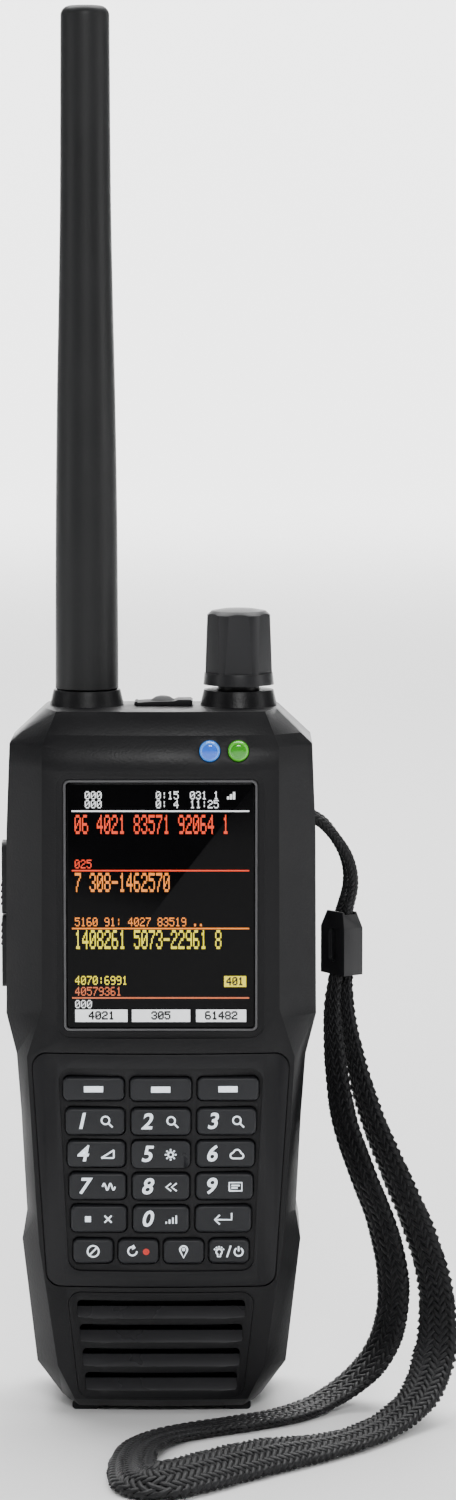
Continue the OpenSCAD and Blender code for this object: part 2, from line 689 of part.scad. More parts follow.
module encoder_body() {
    color([0.3, 0.3, 0.32]) translate([knob_x, 0, 0]) difference() {
        union() {
            block(-encoder_w / 2, encoder_w / 2, -encoder_w / 2, encoder_w / 2, encoder_low, encoder_high);
            translate([0, 0, encoder_low + 1]) cylinder(h = collar_z + 1.2 - encoder_low - 1, d = bushing_d);
        }
        translate([0, 0, plunger_low - knob_travel - fit]) cylinder(h = 40, d = shaft_d + 2 * slip);
    }
}
module encoder_plunger() {
    color([0.85, 0.85, 0.8]) translate([knob_x, 0, plunger_low])
        cylinder(h = shaft_low - plunger_low - 0.05, d = shaft_d);
}
module encoder_shaft() {
    color([0.7, 0.7, 0.72]) translate([knob_x, 0, shaft_low])
        cylinder(h = knob_top - 4 - shaft_low, d = shaft_d);
}
module control_knob() {
    dome = 1.4;
    grip_low = knob_low + 2.4;
    skirt_r = knob_skirt_d / 2;
    top_r = knob_top_d / 2;
    facets = 6;
    color([0.2, 0.2, 0.22]) translate([knob_x, 0, 0]) difference() {
        rotate_extrude($fn = 64) union() {
            polygon([[0, knob_low], [skirt_r, knob_low], [skirt_r - 0.25, grip_low], [top_r + 0.4, grip_low],
                [top_r, knob_top - dome], [top_r * 0.86, knob_top - 0.6], [top_r * 0.5, knob_top - 0.2],
                [0, knob_top]]);
        }
        // Flat finger recesses around the grip
        for (i = [0:facets - 1]) rotate([0, 0, i * 360 / facets])
            translate([-2.9, -top_r - 3 + 0.2, grip_low]) rotate([-0.6, 0, 0]) cube([5.8, 3, knob_h]);
        translate([0, 0, knob_low - 1]) cylinder(h = 3.2, d = bushing_d + 0.6);
        translate([0, 0, knob_low]) cylinder(h = knob_top - 4 - knob_low + 0.02, d = shaft_d + 0.04);
    }
}

module jack_socket() {
    color([0.1, 0.1, 0.1]) translate([jack_x, 0, 0]) difference() {
        union() {
            block(-3.6, 3.6, -3.4, 3.4, jack_low, top_inside - 0.1);
            translate([0, 0, jack_low + 1]) cylinder(h = jack_nose - jack_low - 1, d = 5.8);
        }
        translate([0, 0, jack_low + 1]) cylinder(h = 20, d = jack_d);
    }
}
module jack_cover() {
    low = body_h + 0.1;
    color([0.13, 0.13, 0.14]) {
        translate([0, 0, low]) along_y(-3.4, 3.4)
            polygon([[cover_hinge_x, 0], [6.2, 0], [6.4, 0.3], [6.4, 0.9], [6, 1.2], [3.4, 1.2], [2.6, 0.9],
                [-2.4, 0.8], [cover_hinge_x, 0.6]]);
        translate([cover_hinge_x, 3.4, low + 0.4]) rotate([90, 0, 0]) cylinder(h = 6.8, d = 0.8);
        // Round button over the plug
        translate([jack_x, 0, low + 0.1]) rotate_extrude()
            polygon([[0, 0], [2.9, 0], [2.9, 0.5], [2.3, 1], [1.5, 1.5], [0.7, 1.7], [0, 1.75]]);
    }
}
module usb_socket() {
    color([0.75, 0.76, 0.78]) translate([0, usb_y, usb_z]) difference() {
        block(-usb_wall_x + 2.2, -usb_wall_x + 8, -1.4, 1.4, -4, 4);
        block(-usb_wall_x + 1, -usb_wall_x + 7, -1.1, 1.1, -3.7, 3.7);
        block(-usb_wall_x - 1, -usb_wall_x, -1, 1, -1, 1);
    }
}
module usb_cover() {
    axis_x = -usb_wall_x + 0.55;
    color([0.13, 0.13, 0.14]) translate([0, usb_y, 0]) {
        block(-usb_wall_x + 0.1, -usb_wall_x + 1, -3.5, 3.5, usb_hinge_z, usb_z + 6.3);
        translate([axis_x, 3.5, usb_hinge_z]) rotate([90, 0, 0]) cylinder(h = 7, d = 0.9);
    }
}

module side_key(mid_z, rib_side) {
    x_out = -body_w / 2 - side_key_out;
    inside = -body_w / 2 + wall + 0.4;
    color([0.14, 0.14, 0.15]) translate([0, side_key_y, mid_z]) {
        along_x(x_out, inside + 0.2) rect(side_key_w, side_key_h, 1.4);
        along_x(inside, inside + 0.8) rect(side_key_w + 1, side_key_h + 0.1, 1.4);
        rod_x(inside, -side_switch_x - side_key_travel - fit, 2.4);
        for (i = [0:3]) translate([x_out, 0, rib_side * (side_key_h / 2 - 2 - 1.3 * i)])
            rotate([90, 0, 0]) translate([0, 0, -2.4]) cylinder(h = 4.8, d = 0.6);
    }
}
module function_key() { side_key(side_mid_z + side_key_h / 2 + 0.2, -1); }
module menu_key() { side_key(side_mid_z - side_key_h / 2 - 0.2, 1); }
module side_switches() {
    color([0.1, 0.3, 0.2]) {
        block(-side_switch_x + 2, -side_switch_x + 3.2, -8, 3, side_mid_z - 15.2, side_mid_z + 15.2);
        for (side = [-1, 1])
            translate([0, side_key_y, side_mid_z + side * (side_key_h / 2 + 0.2)]) {
                block(-side_switch_x + 0.6, -side_switch_x + 2.1, -2.2, 2.2, -2.2, 2.2);
                rod_x(-side_switch_x, -side_switch_x + 1, 2);
            }
    }
}
module strap_bar() {
    color([0.7, 0.7, 0.72]) translate([strap_x, 0, pocket_low - 1.6])
        cylinder(h = pocket_high - pocket_low + 3.2, d = strap_bar_d - 0.02);
}

module battery_pack() {
    y0 = bay_floor + 0.3;
    color([0.2, 0.3, 0.5]) translate([0, 0, bay_low + 0.6 + battery_h / 2]) {
        along_y(y0, y0 + battery_t) rect(battery_w, battery_h, 2);
        for (x = [-12, 0, 12]) translate([x, 0, battery_h / 2 - 5]) rod_y(y0 - 0.25, y0 + 1, 4);
    }
}
module battery_door() {
    axis_y = back - 0.95;
    color([0.16, 0.16, 0.18]) {
        difference() {
            union() {
                block(-door_w / 2, door_w / 2, door_y, back, door_low, door_pin_z);
                translate([0, axis_y, door_pin_z]) rod_x(-door_w / 2, door_w / 2, 1.7);
            }
            // Channel and window for the latch
            block(-4.5, 4.5, door_y - 1, door_y + 1.2, door_low - 1, door_low + 7.2);
            block(-3.4, 3.4, door_y, back + 1, door_low + 0.9, door_low + 6.9);
            // Clearance behind the hinge line
            block(-door_w, door_w, door_y - 1, door_y + 0.06, door_pin_z - 1, door_pin_z + 3);
        }
        translate([0, axis_y, door_pin_z]) rod_x(-door_w / 2 - 1, door_w / 2 + 1, 1.4);
    }
}
module battery_latch() {
    color([0.25, 0.25, 0.27]) {
        block(-4.2, 4.2, door_y + 0.15, door_y + 0.95, door_low + 0.2, door_low + 6.6);
        block(-3.1, 3.1, door_y + 0.9, back + 0.1, door_low + 3.1, door_low + 6.6);
        for (i = [0:2]) block(-2.6, 2.6, back, back + 0.4, door_low + 3.6 + 1.1 * i, door_low + 4.1 + 1.1 * i);
    }
}

module clip_bracket() {
    color([0.2, 0.2, 0.22]) difference() {
        union() {
            translate([0, 0, (bracket_low + bracket_high) / 2])
                along_y(back, back + bracket_t) rect(2 * (ear_x + ear_t), bracket_high - bracket_low, 2);
            for (side = [-1, 1]) translate([side * (ear_x + ear_t / 2), 0, clip_pin_z]) {
                translate([0, clip_pin_y, 0]) rod_x(-ear_t / 2, ear_t / 2, 4.8);
                block(-ear_t / 2, ear_t / 2, back + 1, clip_pin_y, -2.4, 2.4);
            }
        }
        translate([0, clip_pin_y, clip_pin_z]) rod_x(-30, 30, clip_pin_d + 0.04);
        for (p = BRACKET_SCREWS) translate([p[0], 0, p[1]])
            rod_y(back - 1, back + bracket_t + 1, screw_d + 0.3);
    }
}
module clip_lever() {
    low = clip_pin_z - clip_len;
    high = clip_pin_z + 11;
    color([0.2, 0.2, 0.22]) difference() {
        union() {
            translate([0, 0, (low + high) / 2]) along_y(lever_y, lever_y + lever_t) rect(clip_w, high - low, 3);
            // Lip that grips the belt
            translate([0, 0, low + 1.6]) along_y(back + joint_gap, lever_y + 1) rect(clip_w - 3, 2.6, 1.2);
            for (x = [-clip_w / 2 + 1.8, clip_w / 2 - 1.8]) {
                translate([x, clip_pin_y, clip_pin_z]) rod_x(-1.1, 1.1, 3.4);
                block(x - 1.1, x + 1.1, clip_pin_y, lever_y + 1, clip_pin_z - 1.7, clip_pin_z + 1.7);
            }
            for (i = [0:4]) block(-5, 5, lever_y + lever_t - 0.2, lever_y + lever_t + 0.4,
                clip_pin_z + 2.4 + 1.6 * i, clip_pin_z + 3.2 + 1.6 * i);
        }
        translate([0, clip_pin_y, clip_pin_z]) rod_x(-30, 30, clip_pin_d + 2 * slip);
    }
}
module clip_pin() {
    half = ear_x + ear_t;
    color([0.75, 0.75, 0.77]) translate([0, clip_pin_y, clip_pin_z]) rod_x(-half, half, clip_pin_d);
}
module clip_spring() {
    wire = 0.6;
    coil_r = clip_pin_d / 2 + 0.5;
    turns = 7;
    color([0.7, 0.7, 0.72]) translate([0, clip_pin_y, clip_pin_z]) {
        for (i = [0:turns - 1]) translate([(i - (turns - 1) / 2) * wire * 0.95, 0, 0])
            rotate([0, 90, 0]) rotate_extrude() translate([coil_r, 0]) circle(d = wire, $fn = 16);
        translate([(turns - 1) / 2 * wire * 0.95, coil_r - 0.02, 0]) cylinder(h = 6, d = wire - 0.1);
        translate([-(turns - 1) / 2 * wire * 0.95, -coil_r + 0.1, -6]) cylinder(h = 6, d = wire - 0.1);
    }
}
module screw(len) {
    head_d = 4.4;
    difference() {
        rod_y(0, 1.5, head_d);
        for (turn = [0, 90]) rotate([0, turn, 0]) block(-1.3, 1.3, 0.7, 2, -0.3, 0.3);
    }
    rod_y(-len, 0.1, screw_d - 0.3);
}
module screws() {
    color([0.3, 0.3, 0.32]) {
        for (p = SCREWS) translate([p[0], back - 2.6, p[1]]) screw(12);
        for (p = BRACKET_SCREWS) translate([p[0], back + bracket_t, p[1]]) screw(4.4);
    }
}

// Strap: a thin loop cord round the strap bar, a moulded end fitting, and a flat braided wrist loop
fitting_turn = -55;
fitting_x = 37.3;
fitting_low = 88.4;
fitting_high = 101.5;
fitting_w = 8.2;
fitting_t = 4.8;
loop_d = 2.4;
braid_t = 1.7;
LOOP_ROUTE = [[38.2, -1.2, 100], [38.8, -1.3, 103], [39.5, -1.5, 106.4], [39.4, -1.8, 109.8],
    [38.2, -2, 113.6], [35.8, -2.3, 117.2], [33.4, -2.4, 119.8], [31, -2.5, 121.4], [29.3, -2.5, 122.4],
    [27.7, -1.8, 123.4], [27, 0, 123.8], [27.7, 1.8, 123.4], [29.3, 2.5, 122.4], [31, 2.5, 121.4],
    [33.4, 2.4, 119.8], [35.5, 2.3, 117.2], [37.6, 2, 113.6], [38.6, 1.8, 109.8], [38.5, 1.6, 106.4],
    [37.6, 1.4, 103], [36.6, 1.2, 100]];
// Middle of the braid, the direction of its width, and its width
BRAID_ROUTE = [
    [[36.3, -0.5, 90], [0.57, -0.82, 0], 4.4], [[35.9, -0.6, 86.6], [0.57, -0.82, 0], 4.6],
    [[35.4, -0.8, 82.2], [0.6, -0.8, 0], 5.2], [[35.5, -1.4, 76.5], [0.6, -0.8, 0], 6.2],
    [[36.3, -2, 67.9], [0.6, -0.8, 0], 7.6], [[38, -3, 57.5], [0.6, -0.8, 0], 8.8],
    [[41.7, -4.4, 46.8], [0.6, -0.8, 0], 9.6], [[45.7, -5.4, 36.4], [0.62, -0.78, -0.1], 10],
    [[48, -6.6, 25.4], [0.62, -0.76, -0.1], 10], [[47.3, -7.4, 15.7], [0.55, -0.8, -0.2], 10],
    [[44.1, -9, 8.8], [0.45, -0.85, -0.2], 10], [[38.8, -12, 4.2], [0.45, -0.88, -0.1], 9.8],
    [[32.5, -17.3, 1.6], [0.5, -0.86, 0], 9.4], [[25.6, -25.5, 1.2], [0.45, -0.88, 0], 9.2],
    [[16.7, -31.9, 1.2], [0.4, -0.9, 0], 9.2], [[8.2, -36.9, 1.2], [0.5, -0.86, 0], 9.2],
    [[1.8, -42.3, 1.4], [0.7, -0.7, 0.05], 9.6], [[-2.6, -50.4, 1.8], [0.93, -0.35, 0.1], 10],
    [[-4.6, -60.4, 2.2], [1, -0.05, 0.2], 10], [[-5, -70.5, 2.6], [0.97, 0.2, 0.25], 10],
    [[-4.2, -79.6, 3], [0.8, 0.6, 0.4], 10], [[0.2, -84.2, 3.3], [-0.2, 0.85, 0.5], 10],
    [[6.8, -79.6, 3.4], [-0.55, 0.7, 0.5], 10], [[14.7, -71.5, 3.3], [-0.5, 0.72, 0.48], 10],
    [[23, -63.1, 3], [-0.5, 0.75, 0.4], 10], [[31.2, -55.4, 2.3], [-0.5, 0.8, 0.25], 9.4],
    [[39.1, -47.4, 2.1], [-0.55, 0.8, 0.2], 8.4], [[46.4, -37.8, 2.8], [-0.6, 0.76, 0.3], 8],
    [[52.3, -29, 5.7], [-0.7, 0.65, 0.4], 8.4], [[55.5, -20.6, 10.5], [-0.75, 0.6, 0.35], 9.2],
    [[56.8, -15.4, 16.6], [-0.68, 0.7, 0.25], 9.8], [[56.3, -11.8, 25.8], [-0.64, 0.76, 0.15], 10],
    [[53.3, -9, 35.9], [-0.64, 0.76, 0], 9.8], [[48.8, -6.8, 46.4], [-0.62, 0.78, 0], 9.4],
    [[43.9, -4.4, 57.9], [-0.6, 0.8, 0], 8.4], [[40.7, -2.6, 68.3], [-0.6, 0.8, 0], 7],
    [[38.7, -1.3, 78.2], [-0.6, 0.8, 0], 5.4], [[38.2, -0.5, 84.7], [-0.57, 0.82, 0], 4.6],
    [[38.2, -0.2, 90], [-0.57, 0.82, 0], 4.4]];
function unit(v) = v / norm(v);
function along(path, i) = unit(path[min(i + 1, len(path) - 1)] - path[max(i - 1, 0)]);
// A skin through rings of points that follow a route
module swept(rings) {
    n = len(rings[0]);
    last = len(rings) - 1;
    sides = [for (k = [0:last - 1], i = [0:n - 1])
        let (a = k * n + i, b = k * n + (i + 1) % n)
        each [[a, b, b + n], [a, b + n, a + n]]];
    polyhedron([for (ring = rings) each ring],
        concat([[for (i = [n - 1:-1:0]) i]], sides, [[for (i = [0:n - 1]) last * n + i]]));
}

module strap_fitting() {
    color([0.16, 0.16, 0.17]) translate([fitting_x, 0, 0]) rotate([0, 0, fitting_turn]) difference() {
        hull() {
            translate([-fitting_w / 2, -fitting_t / 2, fitting_low]) cube([fitting_w, fitting_t, 1]);
            translate([-fitting_w / 2, -fitting_t / 2, fitting_high - 3.4]) cube([fitting_w, fitting_t, 0.1]);
            translate([-fitting_w / 2 + 1.4, -fitting_t / 2 + 0.6, fitting_high - 0.1])
                cube([fitting_w - 2.8, fitting_t - 1.2, 0.1]);
        }
        // Cord hole through the top, braid slot in the bottom and the rounded recess in the wide face
        translate([-2.9, -1.3, fitting_high - 3]) cube([5.8, 2.6, 5]);
        translate([-2.8, -1.9, fitting_low - 1]) cube([5.6, 3.8, 4]);
        translate([0, 0, (fitting_low + fitting_high) / 2 - 0.4])
            along_y(-fitting_t, -fitting_t / 2 + 0.7) rect(2.4, 7, 1.15);
    }
}
module strap_loop_cord() {
    sides = 8;
    color([0.07, 0.07, 0.08]) swept([for (i = [0:len(LOOP_ROUTE) - 1])
        let (t = along(LOOP_ROUTE, i), u = unit(cross(t, [-1, 0, 0.4])), v = cross(t, u))
        [for (k = [0:sides - 1]) LOOP_ROUTE[i]
            + (u * cos(k * 360 / sides) + v * sin(k * 360 / sides)) * loop_d / 2]]);
}
module wrist_strap() {
    path = [for (p = BRAID_ROUTE) p[0]];
    color([0.07, 0.07, 0.08]) swept([for (i = [0:len(BRAID_ROUTE) - 1])
        let (p = BRAID_ROUTE[i], t = along(path, i), w = unit(p[1] - (p[1] * t) * t), n = cross(t, w),
            a = p[2] / 2, e = a - 0.6, thin = i < 4 || i > len(path) - 4 ? 1.4 : braid_t)
        [for (q = [[a, -0.2], [a, 0.2], [e, 0.5], [-e, 0.5], [-a, 0.2], [-a, -0.2], [-e, -0.5], [e, -0.5]])
            path[i] + w * q[0] + n * q[1] * thin]]);
}

front_housing();
rear_housing();
keypad_bezel();
display_bezel();
display_window();
display_panel();
keypad_mat();
snap_domes();
keypad_board();
radio_board();
shield_cans();
speaker_grille();
speaker();
blue_light_lens();
green_light_lens();
antenna_socket();
antenna_core();
antenna_sleeve();
encoder_body();
encoder_plunger();
encoder_shaft();
control_knob();
jack_socket();
jack_cover();
usb_socket();
usb_cover();
function_key();
menu_key();
side_switches();
strap_bar();
battery_pack();
battery_door();
battery_latch();
clip_bracket();
clip_lever();
clip_pin();
clip_spring();
screws();
strap_fitting();
strap_loop_cord();
wrist_strap();
for (k = KEYS) key_cap(k);
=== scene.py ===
import math
import bmesh
import bpy
from mathutils import Matrix, Vector


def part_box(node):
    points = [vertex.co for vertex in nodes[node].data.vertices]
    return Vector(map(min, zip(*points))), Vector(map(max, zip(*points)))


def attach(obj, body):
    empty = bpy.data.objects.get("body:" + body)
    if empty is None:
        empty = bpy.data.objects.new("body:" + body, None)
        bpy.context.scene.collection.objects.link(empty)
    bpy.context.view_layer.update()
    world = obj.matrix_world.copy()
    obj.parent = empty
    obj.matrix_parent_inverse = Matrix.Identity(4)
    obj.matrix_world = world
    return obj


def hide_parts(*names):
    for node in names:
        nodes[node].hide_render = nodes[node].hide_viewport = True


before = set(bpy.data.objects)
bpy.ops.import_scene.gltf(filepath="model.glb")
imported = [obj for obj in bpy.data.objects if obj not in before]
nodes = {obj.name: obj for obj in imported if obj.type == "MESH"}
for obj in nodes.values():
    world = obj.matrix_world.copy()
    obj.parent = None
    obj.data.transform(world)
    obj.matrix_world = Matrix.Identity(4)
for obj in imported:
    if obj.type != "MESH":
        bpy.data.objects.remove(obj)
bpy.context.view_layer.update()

MM = 0.001

# --- Camera ---------------------------------------------------------------------------------------
# A long lens a little above the middle of the radio, looking slightly down at it.


def placed(name, data):
    """A new object in the scene, at the origin."""
    thing = bpy.data.objects.new(name, data)
    bpy.context.scene.collection.objects.link(thing)
    return thing


camera_data = bpy.data.cameras.new("camera")
camera_data.sensor_fit = "VERTICAL"
camera_data.sensor_height = 36
camera_data.lens = 107.5
camera_data.clip_end = 20
camera = placed("camera", camera_data)
camera.location = (0.0137, -0.921, 0.230)
camera.rotation_euler = (math.radians(90 - 5.89), 0, 0)
bpy.context.scene.camera = camera

# --- Wrist strap ----------------------------------------------------------------------------------
# A flat loop of hollow braided black nylon, 24 yarns woven two over two under, its ends moulded
# into the strap fitting. It hangs beside the case and its bight lies on the table.
# Each row: middle of the braid, direction of its width, width, all in metres
STRAP_ROUTE = [
    ((0.0363, -0.0005, 0.09), (0.57, -0.82, 0), 0.0044),
    ((0.0359, -0.0006, 0.0866), (0.57, -0.82, 0), 0.0046),
    ((0.0354, -0.0008, 0.0822), (0.6, -0.8, 0), 0.0052),
    ((0.0355, -0.0014, 0.0765), (0.6, -0.8, 0), 0.0062),
    ((0.0363, -0.002, 0.0679), (0.6, -0.8, 0), 0.0076),
    ((0.038, -0.003, 0.0575), (0.6, -0.8, 0), 0.0088),
    ((0.0417, -0.0044, 0.0468), (0.6, -0.8, 0), 0.0096),
    ((0.0457, -0.0054, 0.0364), (0.62, -0.78, -0.1), 0.01),
    ((0.048, -0.0066, 0.0254), (0.62, -0.76, -0.1), 0.01),
    ((0.0473, -0.0074, 0.0157), (0.55, -0.8, -0.2), 0.01),
    ((0.0441, -0.009, 0.0088), (0.45, -0.85, -0.2), 0.01),
    ((0.0388, -0.012, 0.0042), (0.45, -0.88, -0.1), 0.0098),
    ((0.0325, -0.0173, 0.0016), (0.5, -0.86, 0), 0.0094),
    ((0.0256, -0.0255, 0.0012), (0.45, -0.88, 0), 0.0092),
    ((0.0167, -0.0319, 0.0012), (0.4, -0.9, 0), 0.0092),
    ((0.0082, -0.0369, 0.0012), (0.5, -0.86, 0), 0.0092),
    ((0.0018, -0.0423, 0.0014), (0.7, -0.7, 0.05), 0.0096),
    ((-0.0026, -0.0504, 0.0018), (0.93, -0.35, 0.1), 0.01),
    ((-0.0046, -0.0604, 0.0022), (1, -0.05, 0.2), 0.01),
    ((-0.005, -0.0705, 0.0026), (0.97, 0.2, 0.25), 0.01),
    ((-0.0042, -0.0796, 0.003), (0.8, 0.6, 0.4), 0.01),
    ((0.0002, -0.0842, 0.0033), (-0.2, 0.85, 0.5), 0.01),
    ((0.0068, -0.0796, 0.0034), (-0.55, 0.7, 0.5), 0.01),
    ((0.0147, -0.0715, 0.0033), (-0.5, 0.72, 0.48), 0.01),
    ((0.023, -0.0631, 0.003), (-0.5, 0.75, 0.4), 0.01),
    ((0.0312, -0.0554, 0.0023), (-0.5, 0.8, 0.25), 0.0094),
    ((0.0391, -0.0474, 0.0021), (-0.55, 0.8, 0.2), 0.0084),
    ((0.0464, -0.0378, 0.0028), (-0.6, 0.76, 0.3), 0.008),
    ((0.0523, -0.029, 0.0057), (-0.7, 0.65, 0.4), 0.0084),
    ((0.0555, -0.0206, 0.0105), (-0.75, 0.6, 0.35), 0.0092),
    ((0.0568, -0.0154, 0.0166), (-0.68, 0.7, 0.25), 0.0098),
    ((0.0563, -0.0118, 0.0258), (-0.64, 0.76, 0.15), 0.01),
    ((0.0533, -0.009, 0.0359), (-0.64, 0.76, 0), 0.0098),
    ((0.0488, -0.0068, 0.0464), (-0.62, 0.78, 0), 0.0094),
    ((0.0439, -0.0044, 0.0579), (-0.6, 0.8, 0), 0.0084),
    ((0.0407, -0.0026, 0.0683), (-0.6, 0.8, 0), 0.007),
    ((0.0387, -0.0013, 0.0782), (-0.6, 0.8, 0), 0.0054),
    ((0.0382, -0.0005, 0.0847), (-0.57, 0.82, 0), 0.0046),
    ((0.0382, -0.0002, 0.09), (-0.57, 0.82, 0), 0.0044)]
STRAP_THICK = 0.0011


def flowing(points, per_span):
    """Points along a smooth curve through the given ones (tuples of any length)."""
    out = []
    for i in range(len(points) - 1):
        p0, p1, p2, p3 = (points[min(max(k, 0), len(points) - 1)] for k in (i - 1, i, i + 1, i + 2))
        for step in range(per_span):
            t = step / per_span
            out.append(tuple(0.5 * (2 * b + (c - a) * t + (2 * a - 5 * b + 4 * c - d) * t * t
                                    + (3 * b - a - 3 * c + d) * t ** 3)
                             for a, b, c, d in zip(p0, p1, p2, p3)))
    return out + [tuple(points[-1])]


def solid(name, mesh, sharp=None):
    """A piece from a finished bmesh, shaded smooth up to the given angle in degrees."""
    data = bpy.data.meshes.new(name)
    mesh.to_mesh(data)
    mesh.free()
    if sharp is not None:
        data.shade_smooth()
        data.set_sharp_from_angle(angle=math.radians(sharp))
    return placed(name, data)


def braid(name, rows, yarns, pitch, half_thick, yarn_w, yarn_t, step):
    """Yarns that wind both ways round a flat or round core and pass over and under each other.
    Each row holds a place, the direction of the width and the half width."""
    fine = flowing([tuple(p) + tuple(w) + (a,) for p, w, a in rows], 40)
    places = [Vector(r[:3]) for r in fine]
    travelled = [0.0]
    for a, b in zip(places, places[1:]):
        travelled.append(travelled[-1] + (b - a).length)
    count = int(travelled[-1] / step)
    mesh = bmesh.new()
    frames = []
    k = 0
    for i in range(count + 1):
        s = travelled[-1] * i / count
        while k < len(travelled) - 2 and travelled[k + 1] < s:
            k += 1
        f = (s - travelled[k]) / max(travelled[k + 1] - travelled[k], 1e-9)
        row = [a + (b - a) * f for a, b in zip(fine[k], fine[k + 1])]
        t = (places[min(k + 2, len(places) - 1)] - places[max(k - 1, 0)]).normalized()
        w = Vector(row[3:6])
        w = (w - w.dot(t) * t).normalized()
        frames.append((s, Vector(row[:3]), t, w, t.cross(w), row[6]))
    half = yarns // 2
    sides = 6
    # The share of the width that the yarns' turns take, its angle, and how far a yarn rides up and down
    turn_share, turn_angle, ride = 0.985, 1.397, yarn_t * 0.42
    for way in (1, -1):
        for j in range(half):
            rings = []
            for s, p, t, w, n, a in frames:
                turn = way * 2 * math.pi * s / pitch + 2 * math.pi * j / half
                # The yarn runs evenly across the face and turns round the edge
                across, up = math.cos(turn), math.sin(turn)
                if half_thick(a) < 0.7 * a:
                    across = math.asin(turn_share * across) / turn_angle
                    up = math.copysign(abs(up) ** 0.35, up)
                over = way * math.sin(half / 2 * turn + math.pi / 4)
                b = half_thick(a) - yarn_t * 0.9 + ride * over
                reach = a - yarn_t * 0.9 + ride * over
                out = (w * across / max(a, 1e-6) + n * up / max(half_thick(a), 1e-6)).normalized()
                rings.append((p + w * reach * across + n * b * up, out))
            loops = []
            for i, (c, out) in enumerate(rings):
                run = (rings[min(i + 1, len(rings) - 1)][0] - rings[max(i - 1, 0)][0]).normalized()
                out = (out - out.dot(run) * run).normalized()
                side = run.cross(out)
                wide = yarn_w * min(1, frames[i][5] / frames[len(frames) // 3][5])
                loops.append([mesh.verts.new(c + side * math.cos(q * 2 * math.pi / sides) * wide / 2
                                             + out * math.sin(q * 2 * math.pi / sides) * yarn_t / 2)
                              for q in range(sides)])
            for a, b in zip(loops, loops[1:]):
                for q in range(sides):
                    mesh.faces.new((a[q], a[(q + 1) % sides], b[(q + 1) % sides], b[q]))
            mesh.faces.new(loops[0][::-1])
            mesh.faces.new(loops[-1])
    bmesh.ops.recalc_face_normals(mesh, faces=mesh.faces)
    piece = solid(name, mesh)
    piece.data.shade_smooth()
    return piece


def fresh(name):
    """A new material with its node tree and its shader."""
    material = bpy.data.materials.new(name)
    material.use_nodes = True
    return material, material.node_tree, material.node_tree.nodes["Principled BSDF"]


def noise(tree, scale, detail=2):
    """A cloudy pattern fixed to the piece."""
    place = tree.nodes.new("ShaderNodeTexCoord")
    pattern = tree.nodes.new("ShaderNodeTexNoise")
    pattern.inputs["Scale"].default_value = scale
    pattern.inputs["Detail"].default_value = detail
    tree.links.new(place.outputs["Object"], pattern.inputs["Vector"])
    return pattern


def wire(tree, *runs):
    """Joins sockets, each run being a node, its output, another node and its input."""
    for start, output, end, entry in runs:
        tree.links.new(start.outputs[output], end.inputs[entry])


def relief(tree, shader, pattern, strength, depth):
    """Raises the surface by a pattern."""
    bump = tree.nodes.new("ShaderNodeBump")
    bump.inputs["Strength"].default_value = strength
    bump.inputs["Distance"].default_value = depth
    wire(tree, (pattern, "Fac", bump, "Height"), (bump, "Normal", shader, "Normal"))


def braided_nylon():
    """Black nylon yarn: fine lengthwise filaments, a slight sheen, and a little lint in the hollows."""
    material, tree, shader = fresh("braided nylon")
    fibres = noise(tree, 2600, 3)
    patches = noise(tree, 90)
    shades = tree.nodes.new("ShaderNodeValToRGB")
    dark, light = shades.color_ramp.elements
    dark.position, dark.color = 0.35, (0.003, 0.003, 0.0035, 1)
    light.position, light.color = 0.75, (0.013, 0.013, 0.015, 1)
    blend, share = tree.nodes.new("ShaderNodeMath"), tree.nodes.new("ShaderNodeMath")
    blend.operation = "MULTIPLY_ADD"
    blend.inputs[1].default_value = 0.55
    share.operation = "MULTIPLY"
    share.inputs[1].default_value = 0.45
    wire(tree, (fibres, "Fac", blend, 0), (patches, "Fac", share, 0), (share, 0, blend, 2),
         (blend, 0, shades, "Fac"), (shades, "Color", shader, "Base Color"))
    relief(tree, shader, fibres, 0.5, 0.00012)
    shader.inputs["Roughness"].default_value = 0.5
    shader.inputs["Specular IOR Level"].default_value = 0.3
    shader.inputs["Sheen Weight"].default_value = 0.04
    shader.inputs["Sheen Roughness"].default_value = 0.4
    return material


nylon = braided_nylon()
strap = braid("wrist_strap_braid", [(p, w, a / 2) for p, w, a in STRAP_ROUTE], yarns=24, pitch=0.021,
              half_thick=lambda a: STRAP_THICK * min(1.0, 0.6 + 0.4 * a / 0.005),
              yarn_w=0.00125, yarn_t=0.0006, step=0.0008)
strap.data.materials.append(nylon)
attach(strap, "case")
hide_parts("wrist_strap")

# --- Loop cord ------------------------------------------------------------------------------------
# A thin round braided nylon cord, passed round the steel bar in the case's strap pocket. Both its
# ends go into the top of the strap fitting.
LOOP_ROUTE = [
    (0.0382, -0.0012, 0.100), (0.0388, -0.0013, 0.103), (0.0395, -0.0015, 0.1064), (0.0394, -0.0018, 0.1098),
    (0.0382, -0.002, 0.1136), (0.0358, -0.0023, 0.1172), (0.0334, -0.0024, 0.1198), (0.031, -0.0025, 0.1214),
    (0.0293, -0.0025, 0.1224), (0.0277, -0.0018, 0.1234), (0.027, 0, 0.1238), (0.0277, 0.0018, 0.1234),
    (0.0293, 0.0025, 0.1224), (0.031, 0.0025, 0.1214), (0.0334, 0.0024, 0.1198), (0.0355, 0.0023, 0.1172),
    (0.0376, 0.002, 0.1136), (0.0386, 0.0018, 0.1098), (0.0385, 0.0016, 0.1064), (0.0376, 0.0014, 0.103),
    (0.0366, 0.0012, 0.100)]
LOOP_DIAMETER = 0.0024

loop = braid("loop_cord_braid", [(p, (0.3, 0.9, 0.3), LOOP_DIAMETER / 2) for p in LOOP_ROUTE], yarns=16,
             pitch=0.0085, half_thick=lambda a: a, yarn_w=0.00062, yarn_t=0.00042, step=0.00042)
loop.data.materials.append(nylon)
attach(loop, "case")
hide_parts("strap_loop_cord")

